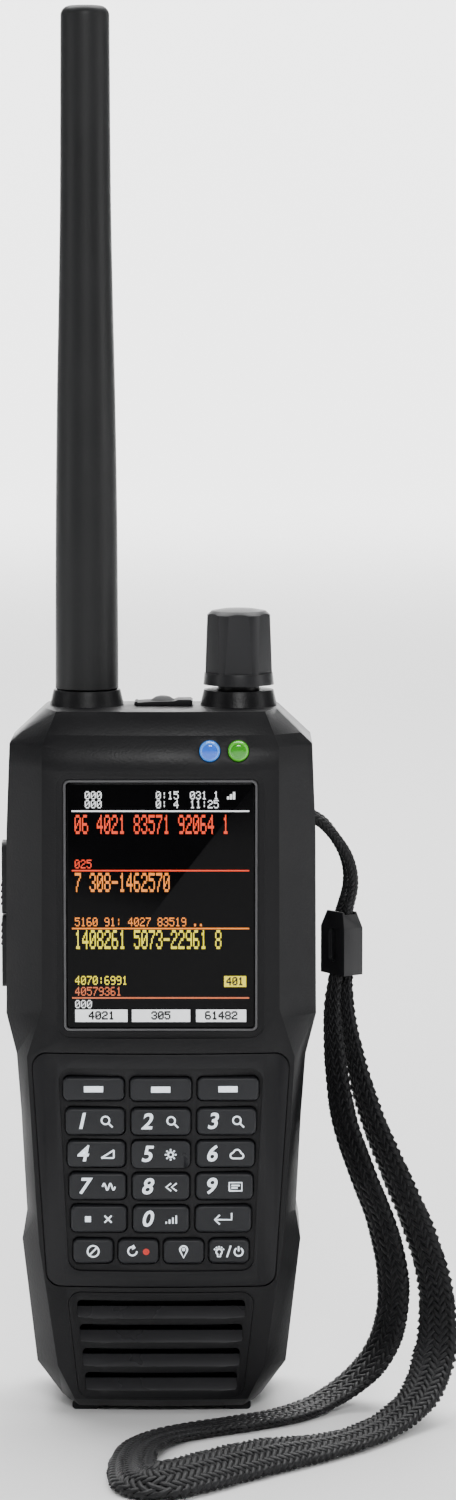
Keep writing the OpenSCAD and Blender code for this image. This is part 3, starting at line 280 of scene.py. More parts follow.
# --- Strap fitting --------------------------------------------------------------------------------
# A hard black plastic end block, moulded over the ends of the strap and the loop cord, with sloped
# shoulders and a long recess in its wide face.
# Faces that turn by less than the first angle are one face; edges past the second are drawn sharp
FLAT_ANGLE, SHARP_ANGLE = 0.4, 38


def edged(node, name, width, segments, angle, weld=4e-5):
    """A copy of a moulded part with the edges that turn by more than an angle rounded to a small radius."""
    mesh = bmesh.new()
    mesh.from_mesh(nodes[node].data)
    bmesh.ops.remove_doubles(mesh, verts=mesh.verts, dist=weld)
    bmesh.ops.dissolve_degenerate(mesh, dist=weld, edges=mesh.edges)
    bmesh.ops.dissolve_limit(mesh, angle_limit=math.radians(FLAT_ANGLE), verts=mesh.verts, edges=mesh.edges)
    limit = math.radians(angle)
    chosen = [e for e in mesh.edges if len(e.link_faces) == 2 and e.calc_face_angle(0) > limit]
    bmesh.ops.bevel(mesh, geom=chosen, offset=width, offset_type="OFFSET", segments=segments,
                    profile=0.5, affect="EDGES", clamp_overlap=True, miter_outer="ARC")
    return solid(name, mesh, SHARP_ANGLE)


def fit(piece, body, slot_name, material, *replaced):
    """Gives a finished piece its material, its body and the nodes that it stands for. The slot name is not
    used.
    """
    if material is not None:
        piece.data.materials.append(material)
    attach(piece, body)
    if replaced:
        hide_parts(*replaced)
    return piece


def moulded(name, dark, light, rough, grain, depth, rough_span=0.08, specular=0.5, metallic=0.0):
    """A moulded or plated surface: fine grain, cloudy gloss and a slight change of shade."""
    material, tree, shader = fresh(name)
    fine = noise(tree, grain)
    cloud = noise(tree, 55, 4)
    shades = tree.nodes.new("ShaderNodeMixRGB")
    shades.inputs[1].default_value = (*dark, 1)
    shades.inputs[2].default_value = (*light, 1)
    gloss = tree.nodes.new("ShaderNodeMapRange")
    for entry, value in (("From Min", 0.3), ("From Max", 0.7), ("To Min", rough - rough_span),
                         ("To Max", rough + rough_span)):
        gloss.inputs[entry].default_value = value
    wire(tree, (cloud, "Fac", shades, 0), (cloud, "Fac", gloss, "Value"),
         (shades, "Color", shader, "Base Color"), (gloss, "Result", shader, "Roughness"))
    relief(tree, shader, fine, 0.6, depth)
    shader.inputs["Specular IOR Level"].default_value = specular
    shader.inputs["Metallic"].default_value = metallic
    return material


def rounded(node, name, edge, body, slot_name, material):
    """A part with its edges rounded, by a radius, a number of segments and a least angle."""
    return fit(edged(node, name, *edge), body, slot_name, material, node)


def painted(material, *names):
    """Gives hidden parts, shown as they were designed, their material."""
    for name in names:
        nodes[name].data.materials.clear()
        nodes[name].data.materials.append(material)


fitting_black = moulded("fitting plastic", (0.008, 0.008, 0.009), (0.013, 0.013, 0.0145), 0.34, 2600, 0.00002,
                        specular=0.35)
rounded("strap_fitting", "strap_fitting_block", (0.00035, 3, 20), "case", "fitting_plastic", fitting_black)

# --- Front housing --------------------------------------------------------------------------------
# The charcoal front half of the case: one thick moulding with a spark-eroded grain, two feet, the
# seats for the display, keypad and grille, and two collars on top.
case_grain = moulded("case plastic", (0.0032, 0.0032, 0.0039), (0.0056, 0.0056, 0.0067), 0.42, 2000, 0.00006,
                     specular=0.24)
COLLAR_HIGH = 0.0032
# The face's bend: heights below the top where it is divided (it starts at the first), height of its
# curved part, and lean of the straight part above
BEND_ROWS = (0.0114, 0.0105, 0.0096, 0.0087, 0.0078, 0.0068, 0.0058)
BEND_HIGH = 0.005
BEND_LEAN = 0.562
# The bevel along the top edge, its lean, and the radius of the face across its width
BEVEL_HIGH = 0.0046
BEVEL_LEAN = 1.087
FACE_RADIUS = 0.18


def bend_crown(piece):
    """Lays the top of the face back over a soft bend that starts above the display."""
    low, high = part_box("front_housing")
    top, face = high.z - COLLAR_HIGH, low.y
    mesh = bmesh.new()
    mesh.from_mesh(piece.data)
    for below in BEND_ROWS:
        bmesh.ops.bisect_plane(mesh, geom=mesh.verts[:] + mesh.edges[:] + mesh.faces[:], dist=1e-6,
                               plane_co=(0, 0, top - below), plane_no=(0, 0, 1))
    for v in mesh.verts:
        rise = v.co.z - (top - BEND_ROWS[0])
        if rise <= 0 or v.co.z > top:
            continue
        curved = BEND_LEAN * (rise * rise / (2 * BEND_HIGH) if rise < BEND_HIGH else rise - BEND_HIGH / 2)
        sharp = max(0.0, v.co.z - (top - BEVEL_HIGH)) * BEVEL_LEAN
        crowned = FACE_RADIUS - math.sqrt(FACE_RADIUS ** 2 - v.co.x ** 2)
        behind = v.co.y - face - sharp - crowned
        # All of the face moves, and the walls behind it less and less over the next 6 mm
        v.co.y += max(0.0, curved - sharp) * min(1.0, max(0.0, 1 - (behind - 0.0022) / 0.006))
    mesh.to_mesh(piece.data)
    mesh.free()
    piece.data.shade_smooth()
    piece.data.set_sharp_from_angle(angle=math.radians(SHARP_ANGLE))
    return piece


fit(bend_crown(edged("front_housing", "front_case", 0.00035, 3, 30)), "case", "housing", case_grain,
    "front_housing")

# --- Rear housing ---------------------------------------------------------------------------------
# The back half of the case, of the same plastic, with the battery bay and the screws' recesses. Six
# screws hold it to the front half.
rounded("rear_housing", "rear_case", (0.00035, 2, 30), "case", "housing", case_grain)

# --- Keypad bezel ---------------------------------------------------------------------------------
# A satin black trapezoid panel that snaps into the front housing, with sloped inner walls and an
# opening for each key.
bezel_black = moulded("bezel plastic", (0.0055, 0.0055, 0.0066), (0.008, 0.008, 0.0094), 0.42, 2600, 0.00003,
                      specular=0.25)
rounded("keypad_bezel", "keypad_panel", (0.00022, 2, 30), "case", "bezel_plastic", bezel_black)

# --- Display frame, window and panel --------------------------------------------------------------
# A thin grey moulded frame, a clear hard-coated window glued inside it, and the black display
# module behind. The lit picture lies as thin tiles on the window's front face.
frame_grey = moulded("frame plastic", (0.05, 0.05, 0.053), (0.075, 0.075, 0.079), 0.4, 2600, 0.00002)
rounded("display_bezel", "display_frame", (0.00018, 3, 30), "case", "display_frame", frame_grey)
# Clear acrylic over black, hard and glossy, with a faint haze from wiping
glass = moulded("display window", (0.0012, 0.0012, 0.0015), (0.0022, 0.0022, 0.0026), 0.1, 400, 0.000001,
                rough_span=0.03, specular=0.1)
rounded("display_window", "display_window_pane", (0.00025, 3, 30), "case", "display_glass", glass)
panel_black = moulded("display module", (0.004, 0.004, 0.005), (0.007, 0.007, 0.008), 0.3, 800, 0.000005)
painted(panel_black, "display_panel")

# --- Picture on the display -----------------------------------------------------------------------
# The lit picture: rows of tall block digits in orange, amber and yellow, thin rules between them, and
# three white soft-key labels. Each lit dot is its own small square.
DOTS = {
    "0": "01110 10001 10011 10101 11001 10001 01110", "1": "00100 01100 00100 00100 00100 00100 01110",
    "2": "01110 10001 00001 00110 01000 10000 11111", "3": "01110 10001 00001 00110 00001 10001 01110",
    "4": "00010 00110 01010 10010 11111 00010 00010", "5": "11111 10000 11110 00001 00001 10001 01110",
    "6": "01110 10000 10000 11110 10001 10001 01110", "7": "11111 00001 00010 00100 00100 01000 01000",
    "8": "01110 10001 10001 01110 10001 10001 01110", "9": "01110 10001 10001 01111 00001 00001 01110",
    "-": "00000 00000 00000 11111 00000 00000 00000", ":": "00000 00100 00100 00000 00100 00100 00000",
    ".": "00000 00000 00000 00000 00000 01100 01100"}
window_low, window_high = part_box("display_window")
face_y = window_low.y
lit_mid_x = (window_low.x + window_high.x) / 2
lit_mid_z = (window_low.z + window_high.z) / 2
LIT_W, LIT_H = 0.036, 0.048


def lit(name, colour, strength):
    """A lit dot: its own colour, seen through the glossy window."""
    material, tree, shader = fresh(name)
    level = tree.nodes.new("ShaderNodeMapRange")
    level.inputs["To Min"].default_value = 0.86
    level.inputs["To Max"].default_value = 1.0
    tint = tree.nodes.new("ShaderNodeMixRGB")
    tint.inputs[1].default_value = (0, 0, 0, 1)
    tint.inputs[2].default_value = (*colour, 1)
    wire(tree, (noise(tree, 60), "Fac", level, "Value"), (level, "Result", tint, 0),
         (tint, "Color", shader, "Emission Color"), (tint, "Color", shader, "Base Color"))
    shader.inputs["Emission Strength"].default_value = strength
    shader.inputs["Roughness"].default_value = 0.25
    return material


def tiles(name, rects, lift, material):
    """Thin flat tiles on the window, from (left, bottom, right, top) measured in metres from the
    lit area's lower left corner."""
    mesh = bmesh.new()
    thick = 0.00002
    for x0, z0, x1, z1 in rects:
        corners = [(x0, z0), (x1, z0), (x1, z1), (x0, z1)]
        ring = [[mesh.verts.new((lit_mid_x - LIT_W / 2 + x, face_y + y, lit_mid_z - LIT_H / 2 + z))
                 for x, z in corners] for y in (-lift, thick)]
        mesh.faces.new(ring[0])
        for k in range(4):
            mesh.faces.new((ring[1][k], ring[1][(k + 1) % 4], ring[0][(k + 1) % 4], ring[0][k]))
        mesh.faces.new(ring[1][::-1])
    bmesh.ops.recalc_face_normals(mesh, faces=mesh.faces)
    fit(solid(name, mesh), "case", "display_module", material)


def written(text, left, low, advance, height, heavy=0.0):
    """The dots of a line of block digits, as tiles. Dots that touch are joined sideways. Heavy
    widens every dot by a share of itself."""
    dot_w, dot_h = advance / 6, height / 7
    out = []
    for n, sign in enumerate(text):
        if sign == " ":
            continue
        for r, row in enumerate(DOTS[sign].split()):
            c = 0
            while c < 5:
                if row[c] == "1":
                    end = c
                    while end < 5 and row[end] == "1":
                        end += 1
                    x0 = left + n * advance + c * dot_w
                    z0 = low + (6 - r) * dot_h
                    out.append((x0, z0, left + n * advance + (end + heavy) * dot_w, z0 + dot_h * (1 + heavy)))
                    c = end
                else:
                    c += 1
    return out


DOT = LIT_H / 320
# Text, left, low, advance and height of each line, in dots of the 240 by 320 display
LINES = {
    "white": [("000", 18, 305, 8, 11), ("000", 18, 293, 8, 11), ("0:15", 114, 305, 8, 11),
              ("0: 4", 114, 293, 8, 11), ("031 1", 160, 305, 8, 11), ("11:25", 160, 293, 8, 11),
              ("000", 4, 20, 8, 11)],
    "red": [("06 4021 83571 92064 1", 4, 258, 10, 26), ("025", 4, 211, 8, 12)],
    "orange": [("7 308-1462570", 4, 179, 10, 26), ("5160 91: 4027 83519 ..", 4, 132, 8, 12)],
    "yellow": [("1408261 5073-22961 8", 4, 101, 10, 26), ("4070:6991", 4, 52, 8, 12)],
    "salmon": [("40579361", 4, 37, 8, 12)]}
COLOURS = {"white": (0.9, 0.92, 0.94), "red": (0.85, 0.05, 0.008), "orange": (0.95, 0.26, 0.02),
           "yellow": (0.9, 0.76, 0.02), "salmon": (0.6, 0.13, 0.04)}
RULES = {"white": [(0, 288, 240, 290)], "red": [(0, 207, 240, 209)], "orange": [(0, 128, 240, 130)],
         "yellow": [(206, 49, 236, 64)], "salmon": [(0, 33, 240, 35)]}
for shade, rows in LINES.items():
    squares = [q for text, x, z, adv, high in rows
               for q in written(text, x * DOT, z * DOT, adv * DOT, high * DOT)]
    blocks = RULES[shade]
    if shade == "white":
        blocks = blocks + [(4, 1, 75, 18), (81, 1, 160, 18), (168, 1, 236, 18)]
        blocks += [(210 + 4 * k, 305, 213 + 4 * k, 309 + 3 * k) for k in range(3)]
    squares += [tuple(v * DOT for v in block) for block in blocks]
    tiles("picture_" + shade, squares, 0.00001, lit("picture " + shade, COLOURS[shade], 0.55))
dark_marks = [q for text, x in (("4021", 22), ("305", 107), ("61482", 180))
              for q in written(text, x * DOT, 4 * DOT, 9 * DOT, 11 * DOT, 0.6)]
dark_marks += written("401", 209 * DOT, 51 * DOT, 8 * DOT, 11 * DOT, 0.5)
tiles("picture_dark", dark_marks, 0.00002, panel_black)

# --- Keys -----------------------------------------------------------------------------------------
# Nineteen silicone-rubber keys with domed edges, moulded dark with clear legends that are lit from
# behind. Each stands in its own opening of the bezel and is pressed by itself.
DIGIT_KEYS = {f"key_{digit}": digit for digit in "1234567890"}
EDGE_ROUND = 0.55 * MM
NUMERAL_HIGH = 4.6
NUMERAL_LEFT = 2.9 * MM
LINE_THICK = 0.17 * MM
LINE_PROUD = 0.18
MARK_THICK = 0.00003
rubber = moulded("key rubber", (0.012, 0.0125, 0.0145), (0.017, 0.0178, 0.0205), 0.45, 2800, 0.00002,
                 specular=0.3)


def legend_material(name, colour, strength):
    """Clear rubber lit from behind, with a matte surface."""
    material = lit(name, colour, strength)
    material.node_tree.nodes["Principled BSDF"].inputs["Roughness"].default_value = 0.5
    return material


legend_white = legend_material("legend white", (0.86, 0.93, 1.0), 0.75)
legend_red = legend_material("legend red", (0.55, 0.03, 0.02), 0.5)


def circle(x, z, r, start=0, end=360, count=16):
    """Points of an arc, counterclockwise from the right."""
    return [(x + r * math.cos(math.radians(start + (end - start) * k / count)),
             z + r * math.sin(math.radians(start + (end - start) * k / count))) for k in range(count + 1)]


def rays(angles, z, near, far):
    """Short lines that point away from a middle at the given height, between two distances from it."""
    return [[(math.cos(a) * r, math.sin(a) * r + z) for r in (near, far)] for a in map(math.radians, angles)]


PIN = circle(0, 0.35, 0.75, -20, 200, 14)
BULB = circle(0, -0.1, 0.62, -60, 240, 14)
# Symbols as strokes, in millimetres from the middle of the symbol
SYMBOLS = {
    "search": [circle(-0.3, 0.3, 0.85), [(0.35, -0.35), (1.2, -1.2)]],
    "damp": [[(-1.5, -0.9), (1.5, -0.9)], [(-1.5, -0.9), (1.5, 1.0)], [(1.5, 1.0), (1.5, -0.9)]],
    "dim": [circle(0, 0, 0.62)] + rays(range(0, 360, 45), 0, 0.95, 1.4),
    "cloud": [circle(-0.75, -0.3, 0.6, 100, 270, 8) + [(0.9, -0.9)] + circle(0.9, -0.35, 0.55, -90, 80, 8)
              + circle(0.1, 0.2, 0.8, 20, 160, 8) + [(-0.85, 0.3)]],
    "wave": [[(-1.5 + 0.15 * k, 0.8 * math.sin(k * math.pi / 5)) for k in range(21)]],
    "back": [[(0.0, 1.0), (-1.3, 0), (0.0, -1.0)], [(1.4, 1.0), (0.1, 0), (1.4, -1.0)]],
    "panel": [[(-1.5, -1.0), (1.5, -1.0), (1.5, 1.0), (-1.5, 1.0), (-1.5, -1.0)], [(-1.0, 0.3), (1.0, 0.3)],
              [(-1.0, -0.3), (0.5, -0.3)]],
    "cross": [[(-0.8, -0.8), (0.8, 0.8)], [(-0.8, 0.8), (0.8, -0.8)]],
    "level": [[(-1.2, -1.0), (-1.2, -0.5)], [(-0.4, -1.0), (-0.4, 0.0)], [(0.4, -1.0), (0.4, 0.5)],
              [(1.2, -1.0), (1.2, 1.0)]],
    "enter": [[(1.5, 1.1), (1.5, -0.1), (-1.4, -0.1)], [(-0.6, 0.75), (-1.5, -0.1), (-0.6, -0.95)]],
    "avoid": [circle(0, 0, 1.15, 0, 360, 22), [(-0.8, -0.8), (0.8, 0.8)]],
    "replay": [circle(0, 0.05, 1.0, 60, 360, 18), [(0.1, 1.45), (0.55, 0.85), (-0.1, 0.5)]],
    "record": [circle(0, 0, 0.42, 0, 360, 14), circle(0, 0, 0.15, 0, 360, 8)],
    "map": [PIN + [(0, -1.35), PIN[0]], circle(0, 0.4, 0.2, 0, 360, 8)],
    "bulb": [BULB + [(-0.3, -1.15), (0.3, -1.15), BULB[0]]] + rays(range(30, 151, 30), -0.1, 0.92, 1.25),
    "slash": [[(-0.4, -1.2), (0.4, 1.2)]],
    "power": [circle(0, -0.1, 0.9, 120, 420, 18), [(0, 0.0), (0, 1.1)]]}
# Key: symbols with their place across and up, their size and whether they are red
SEARCH = [("search", 2.4, 0, 0.95, 0)]
KEY_SYMBOLS = {
    "key_1": SEARCH, "key_2": SEARCH, "key_3": SEARCH, "key_4": [("damp", 2.3, 0, 0.85, 0)],
    "key_5": [("dim", 2.0, 0, 0.85, 0)], "key_6": [("cloud", 2.3, 0, 0.95, 0)],
    "key_7": [("wave", 2.3, 0, 0.85, 0)], "key_8": [("back", 2.1, 0, 0.8, 0)],
    "key_9": [("panel", 2.3, 0, 0.85, 0)], "key_dot": [("cross", 1.9, 0, 0.9, 0)],
    "key_0": [("level", 2.1, 0, 0.85, 0)], "key_enter": [("enter", 0, 0, 1.15, 0)],
    "avoid_key": [("avoid", 0, 0, 1.0, 0)],
    "replay_key": [("replay", -1.2, 0.1, 0.9, 0), ("record", 1.6, 0, 1.2, 1)],
    "services_key": [("map", 0, 0.1, 1.0, 0)],
    "power_key": [("bulb", -2.0, 0, 0.95, 0), ("slash", 0, 0, 1.0, 0), ("power", 2.0, 0, 0.95, 0)]}


def laid_on(name, curve, x, y, z):
    """A flat curve or text made a mesh and laid on a face that looks forward."""
    holder = placed(name + " outline", curve)
    bpy.context.view_layer.update()
    data = bpy.data.meshes.new_from_object(holder.evaluated_get(bpy.context.evaluated_depsgraph_get()))
    bpy.data.objects.remove(holder)
    data.materials.clear()
    data.transform(Matrix.Translation((x, y, z)) @ Matrix.Rotation(math.pi / 2, 4, "X"))
    data.name = name
    return placed(name, data)


def stroked(name, strokes, size, x, y, z):
    """Strokes of one symbol as fine raised lines, half sunk in the face."""
    curve = bpy.data.curves.new(name, "CURVE")
    curve.dimensions = "3D"
    curve.bevel_depth = LINE_THICK
    curve.bevel_resolution = 2
    curve.use_fill_caps = True
    for points in strokes:
        spline = curve.splines.new("POLY")
        spline.points.add(len(points) - 1)
        for point, (px, pz) in zip(spline.points, points):
            point.co = (px * size * MM, pz * size * MM, 0, 1)
    piece = laid_on(name, curve, x, y, z)
    # The lines are flattened until they stand only a little proud of the rubber
    for v in piece.data.vertices:
        v.co.y = y + (v.co.y - y) * LINE_PROUD
    piece.data.shade_smooth()
    return piece


def numeral(name, text, size, x, y, z):
    """A slanted bold numeral."""
    curve = bpy.data.curves.new(name, "FONT")
    curve.body = text
    curve.size = size * MM
    curve.shear = 0.22
    curve.offset = 0.000085
    curve.extrude = MARK_THICK
    curve.align_x = "CENTER"
    curve.align_y = "CENTER"
    curve.resolution_u = 3
    return laid_on(name, curve, x, y, z)


def key_cap(node):
    """A key whose front edge is rounded like a pillow, and the depth at which its face lies."""
    mesh = bmesh.new()
    mesh.from_mesh(nodes[node].data)
    bmesh.ops.remove_doubles(mesh, verts=mesh.verts, dist=2e-5)
    bmesh.ops.dissolve_limit(mesh, angle_limit=math.radians(0.4), verts=mesh.verts, edges=mesh.edges)
    top = max((f for f in mesh.faces if f.normal.y < -0.9), key=lambda f: f.calc_area())
    level = top.calc_center_median().y
    rim = [e for e in top.edges if abs(e.verts[0].co.y - level) < 1e-5]
    bmesh.ops.bevel(mesh, geom=rim, offset=EDGE_ROUND, offset_type="OFFSET", segments=6, profile=0.5,
                    affect="EDGES", clamp_overlap=True)
    return solid(node + "_cap", mesh, 34), level


KEY_NODES = ([f"soft_key_{side}" for side in ("left", "middle", "right")] + list(DIGIT_KEYS)
             + ["key_dot", "key_enter", "avoid_key", "replay_key", "services_key", "power_key"])
for node in KEY_NODES:
    cap, level = key_cap(node)
    fit(cap, node, "key_rubber", rubber, node)
    low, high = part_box(node)
    mid_x, mid_z = (low.x + high.x) / 2, (low.z + high.z) / 2
    if node in DIGIT_KEYS:
        fit(numeral(node + "_numeral", DIGIT_KEYS[node], NUMERAL_HIGH, mid_x - NUMERAL_LEFT, level, mid_z),
            node, "key_rubber", legend_white)
    if node.startswith("soft_key") or node == "key_dot":
        half_w, half_h, shift = (0.6, 0.6, -2.2) if node == "key_dot" else (1.95, 0.62, 0)
        bar = bpy.data.curves.new(node + "_bar", "CURVE")
        bar.dimensions = "2D"
        bar.fill_mode = "BOTH"
        bar.extrude = MARK_THICK
        spline = bar.splines.new("POLY")
        spline.points.add(3)
        spline.use_cyclic_u = True
        for point, (cx, cz) in zip(spline.points, ((-1, -1), (1, -1), (1, 1), (-1, 1))):
            point.co = (cx * half_w * MM, cz * half_h * MM, 0, 1)
        fit(laid_on(node + "_bar", bar, mid_x + shift * MM, level, mid_z), node, "key_rubber", legend_white)
    for k, (symbol, x, z, size, red) in enumerate(KEY_SYMBOLS.get(node, [])):
        fit(stroked(f"{node}_symbol_{k}", SYMBOLS[symbol], size, mid_x + x * MM, level, mid_z + z * MM), node,
            "key_rubber", legend_red if red else legend_white)

# --- Speaker grille -------------------------------------------------------------------------------
# A satin black insert with four slots. Each has a sill that slopes out to the face, polished where
# the bars are grained, and painted paler than them: a painted highlight for the light the sills catch.
# The speaker's black cone shows behind them.
grille_black = moulded("grille plastic", (0.0035, 0.0035, 0.0042), (0.0058, 0.0058, 0.0068), 0.45, 2600,
                       0.00003, specular=0.22)
# The sills' pale colour is a painted highlight for the light they catch; only their lower roughness is their
# own.
sill_painted_highlight = moulded("grille sills with painted highlight", (0.028, 0.028, 0.03), (0.036, 0.036, 0.039), 0.3, 900,
                      0.000004)
grille = rounded("speaker_grille", "speaker_grille_insert", (0.00022, 2, 30), "case", "bezel_plastic",
                 grille_black)
grille.data.materials.append(sill_painted_highlight)
# Faces that look up and forward, the sloped sills, take the paler painted-highlight material
for face in grille.data.polygons:
    face.material_index = int(face.normal.z > 0.5 and face.normal.y < -0.4)
cone_black = moulded("speaker cone", (0.0015, 0.0015, 0.0018), (0.003, 0.003, 0.0034), 0.85, 900, 0.00003,
                     specular=0.1)
painted(cone_black, "speaker")

# --- Indicator lights -----------------------------------------------------------------------------
# Two clear light pipes, tinted blue and green, whose domed ends show beside the display's top edge.


def turned(name, profile, count, spot):
    """A round piece from (distance along its axis, radius) points. Spot places a point from its two
    coordinates across the axis and its distance along it."""
    mesh = bmesh.new()
    rings = []
    for along, r in profile:
        angles = [k * 2 * math.pi / count for k in range(count if r else 1)]
        rings.append([mesh.verts.new(spot(r * math.cos(a), r * math.sin(a), along)) for a in angles])
    for a, b in zip(rings, rings[1:]):
        for k in range(count):
            corners = (a[k % len(a)], a[(k + 1) % len(a)], b[(k + 1) % len(b)], b[k % len(b)])
            mesh.faces.new(list(dict.fromkeys(corners)))
    bmesh.ops.recalc_face_normals(mesh, faces=mesh.faces)
    return solid(name, mesh, 50)


def light_pipe(name, colour, glow):
    """Tinted acrylic, lit from behind, glossy under a clear coat."""
    material = lit(name, colour, glow)
    shader = material.node_tree.nodes["Principled BSDF"]
    shader.inputs["Roughness"].default_value = 0.12
    shader.inputs["Coat Weight"].default_value = 0.6
    return material


# The ends follow the bend of the face, so they stand a little behind the parts as designed
SUNK_BY = 0.6 * MM
PIPE_ROUND = 40
# The dome from the back of its collar to the tip: distance back from the tip, radius. Its middle,
# painted a deeper tint than the rim, starts at the turned profile's eighth row.
DOME = [(0.0037, 0.0014), (0.0037, 0.00212), (0.00095, 0.00212), (0.00055, 0.002), (0.00028, 0.00175),
        (0.00022, 0.0016), (0.0001, 0.00145), (0.00003, 0.001), (0.0, 0.0)]
CORE_FROM = 7
# Each lens gets a lighter rim tint and a deeper middle tint on one even acrylic: painted light for how light
# passes through the dome.
for node, outer, inner in (("blue_light_lens", (0.07, 0.27, 0.85), (0.02, 0.12, 0.62)),
                           ("green_light_lens", (0.08, 0.42, 0.03), (0.03, 0.25, 0.01))):
    low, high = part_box(node)
    cx, cz, tip_y = (low.x + high.x) / 2, (low.z + high.z) / 2, low.y + SUNK_BY
    lens = turned(node + "_dome", [(high.y - tip_y, 0), (high.y - tip_y, 0.0014)] + DOME, PIPE_ROUND,
                  lambda across, up, back: (cx + across, tip_y + back, cz + up))
    lens.data.materials.append(light_pipe(node + " rim", outer, 0.5))
    lens.data.materials.append(light_pipe(node + " core", inner, 0.55))
    for face in lens.data.polygons:
        face.material_index = int(face.index >= CORE_FROM * PIPE_ROUND)
    fit(lens, "case", node.replace("_light", ""), None, node)

# --- Antenna --------------------------------------------------------------------------------------
# A tapered whip in a smooth matte rubber sleeve, moulded over the wound element and screwed on to
# the connector in the left collar.
low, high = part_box("antenna_sleeve")
whip_x, whip_y = (low.x + high.x) / 2, (low.y + high.y) / 2
foot_z, tip_z = low.z, high.z
foot_r, tip_r, tip_round = (high.x - low.x) / 2, 0.005, 0.002
# Share of the length, radius
tapers = [(0.002, foot_r), (0.24, foot_r - 0.00015), (0.43, (foot_r + tip_r) / 2 + 0.00025),
          (0.62, tip_r + 0.00045), (0.75, tip_r + 0.0002), (0.97, tip_r + 0.00002)]
smooth = flowing([(foot_z + share * (tip_z - foot_z), r) for share, r in tapers], 8)
rounding = [(tip_z - tip_round + tip_round * math.sin(a), tip_r - tip_round + tip_round * math.cos(a))
            for a in map(math.radians, range(0, 91, 10))]
whip_profile = ([(foot_z, 0), (foot_z, 0.0047), (foot_z, foot_r - 0.0003), (foot_z + 0.0003, foot_r)] + smooth
                + rounding + [(tip_z, 0)])
whip_rubber = moulded("antenna rubber", (0.0066, 0.0069, 0.0074), (0.0098, 0.0102, 0.0109), 0.46, 1500,
                      0.00002, specular=0.33)
whip = turned("antenna_whip", whip_profile, 72, lambda x, y, height: (whip_x + x, whip_y + y, height))
fit(whip, "case", "antenna_rubber", whip_rubber, "antenna_sleeve")
plated = moulded("plated brass", (0.62, 0.44, 0.18), (0.74, 0.54, 0.24), 0.28, 900, 0.000004, metallic=1.0)
painted(plated, "antenna_core", "antenna_socket")

# --- Control knob ---------------------------------------------------------------------------------
# A black moulded knob with six flat finger recesses and a low skirt, pressed on the encoder's
# steel shaft. It turns without end and pushes to select.
knob_black = moulded("knob plastic", (0.0105, 0.0105, 0.0118), (0.016, 0.016, 0.018), 0.38, 2200, 0.000025,
                     specular=0.35)
rounded("control_knob", "selector_knob", (0.00032, 4, 17, 3e-5), "knob", "knob_plastic", knob_black)
bright_steel = moulded("plain steel", (0.42, 0.42, 0.44), (0.55, 0.55, 0.57), 0.3, 700, 0.000003,
                       metallic=1.0)
painted(bright_steel, "encoder_shaft", "clip_spring", "strap_bar", "clip_pin", "snap_domes", "usb_socket",
        "shield_cans")
satin_black = moulded("satin black plastic", (0.008, 0.008, 0.009), (0.012, 0.012, 0.013), 0.4, 2400, 0.00002,
                      specular=0.3)
painted(satin_black, "encoder_body", "encoder_plunger", "jack_socket")

# --- Headphone jack cover -------------------------------------------------------------------------
# A low rubber flap on the flat top between the antenna and the knob. It swings up about its left end.
soft_black = moulded("cover rubber", (0.007, 0.007, 0.0085), (0.011, 0.011, 0.0125), 0.55, 1800, 0.00003,
                     specular=0.25)
rounded("jack_cover", "jack_cover_flap", (0.00025, 4, 25), "jack_cover", "cover_rubber", soft_black)

# --- Charging port cover --------------------------------------------------------------------------
# A rubber flap over the charging socket in the left side. It swings down about its lower end.
rounded("usb_cover", "charging_port_flap", (0.00022, 3, 25), "usb_cover", "cover_rubber", soft_black)

# --- Side keys ------------------------------------------------------------------------------------
# Two rubber keys in the left side, with grip ribs near the ends where they meet.
side_black = moulded("side key rubber", (0.007, 0.007, 0.008), (0.011, 0.011, 0.0125), 0.55, 2000, 0.00003,
                     specular=0.3)
for node in ("function_key", "menu_key"):
    rounded(node, node + "_cap", (0.0004, 4, 30), node, "side_rubber", side_black)

# --- Battery door and latch -----------------------------------------------------------------------
# The door over the battery bay: it hangs on two moulded pegs at its top edge, and a sliding latch
# holds its bottom edge.
rounded("battery_door", "battery_door_panel", (0.00025, 3, 30), "battery_door", "housing", case_grain)
rounded("battery_latch", "battery_latch_slider", (0.00015, 3, 30), "battery_latch", "black_plastic",
        satin_black)
wrap = moulded("battery wrap", (0.012, 0.03, 0.1), (0.02, 0.05, 0.15), 0.3, 300, 0.00001)
painted(wrap, "battery_pack")

# --- Belt clip ------------------------------------------------------------------------------------
# A textured black lever with a lip that grips the belt. A steel pin holds it in a bracket that two
# screws fix to the back, and a coil spring presses it shut.
clip_black = moulded("clip plastic", (0.009, 0.009, 0.01), (0.014, 0.014, 0.0155), 0.42, 1800, 0.00005,
                     specular=0.3)
rounded("clip_bracket", "belt_clip_bracket", (0.00025, 3, 30), "case", "clip_plastic", clip_black)
rounded("clip_lever", "belt_clip_lever", (0.0004, 4, 30), "belt_clip", "clip_plastic", clip_black)

# --- Boards and inner parts -----------------------------------------------------------------------
# The two printed boards, the side switches' board and the silicone key mat, seen only through gaps.
board_green = moulded("solder mask", (0.01, 0.055, 0.02), (0.016, 0.085, 0.032), 0.3, 500, 0.000006)
painted(board_green, "keypad_board", "radio_board", "side_switches")
mat_silicone = moulded("mat silicone", (0.42, 0.43, 0.46), (0.52, 0.53, 0.56), 0.55, 900, 0.00001)
painted(mat_silicone, "keypad_mat")

# --- Screws ---------------------------------------------------------------------------------------
# Black zinc-plated steel machine screws with a cross recess: six deep in the rear housing's corners
# and middle, and two short ones that hold the clip bracket.
black_zinc = moulded("black zinc", (0.045, 0.045, 0.05), (0.085, 0.085, 0.092), 0.34, 900, 0.000006,
                     metallic=1.0)
HEAD_HEIGHT = 0.0015


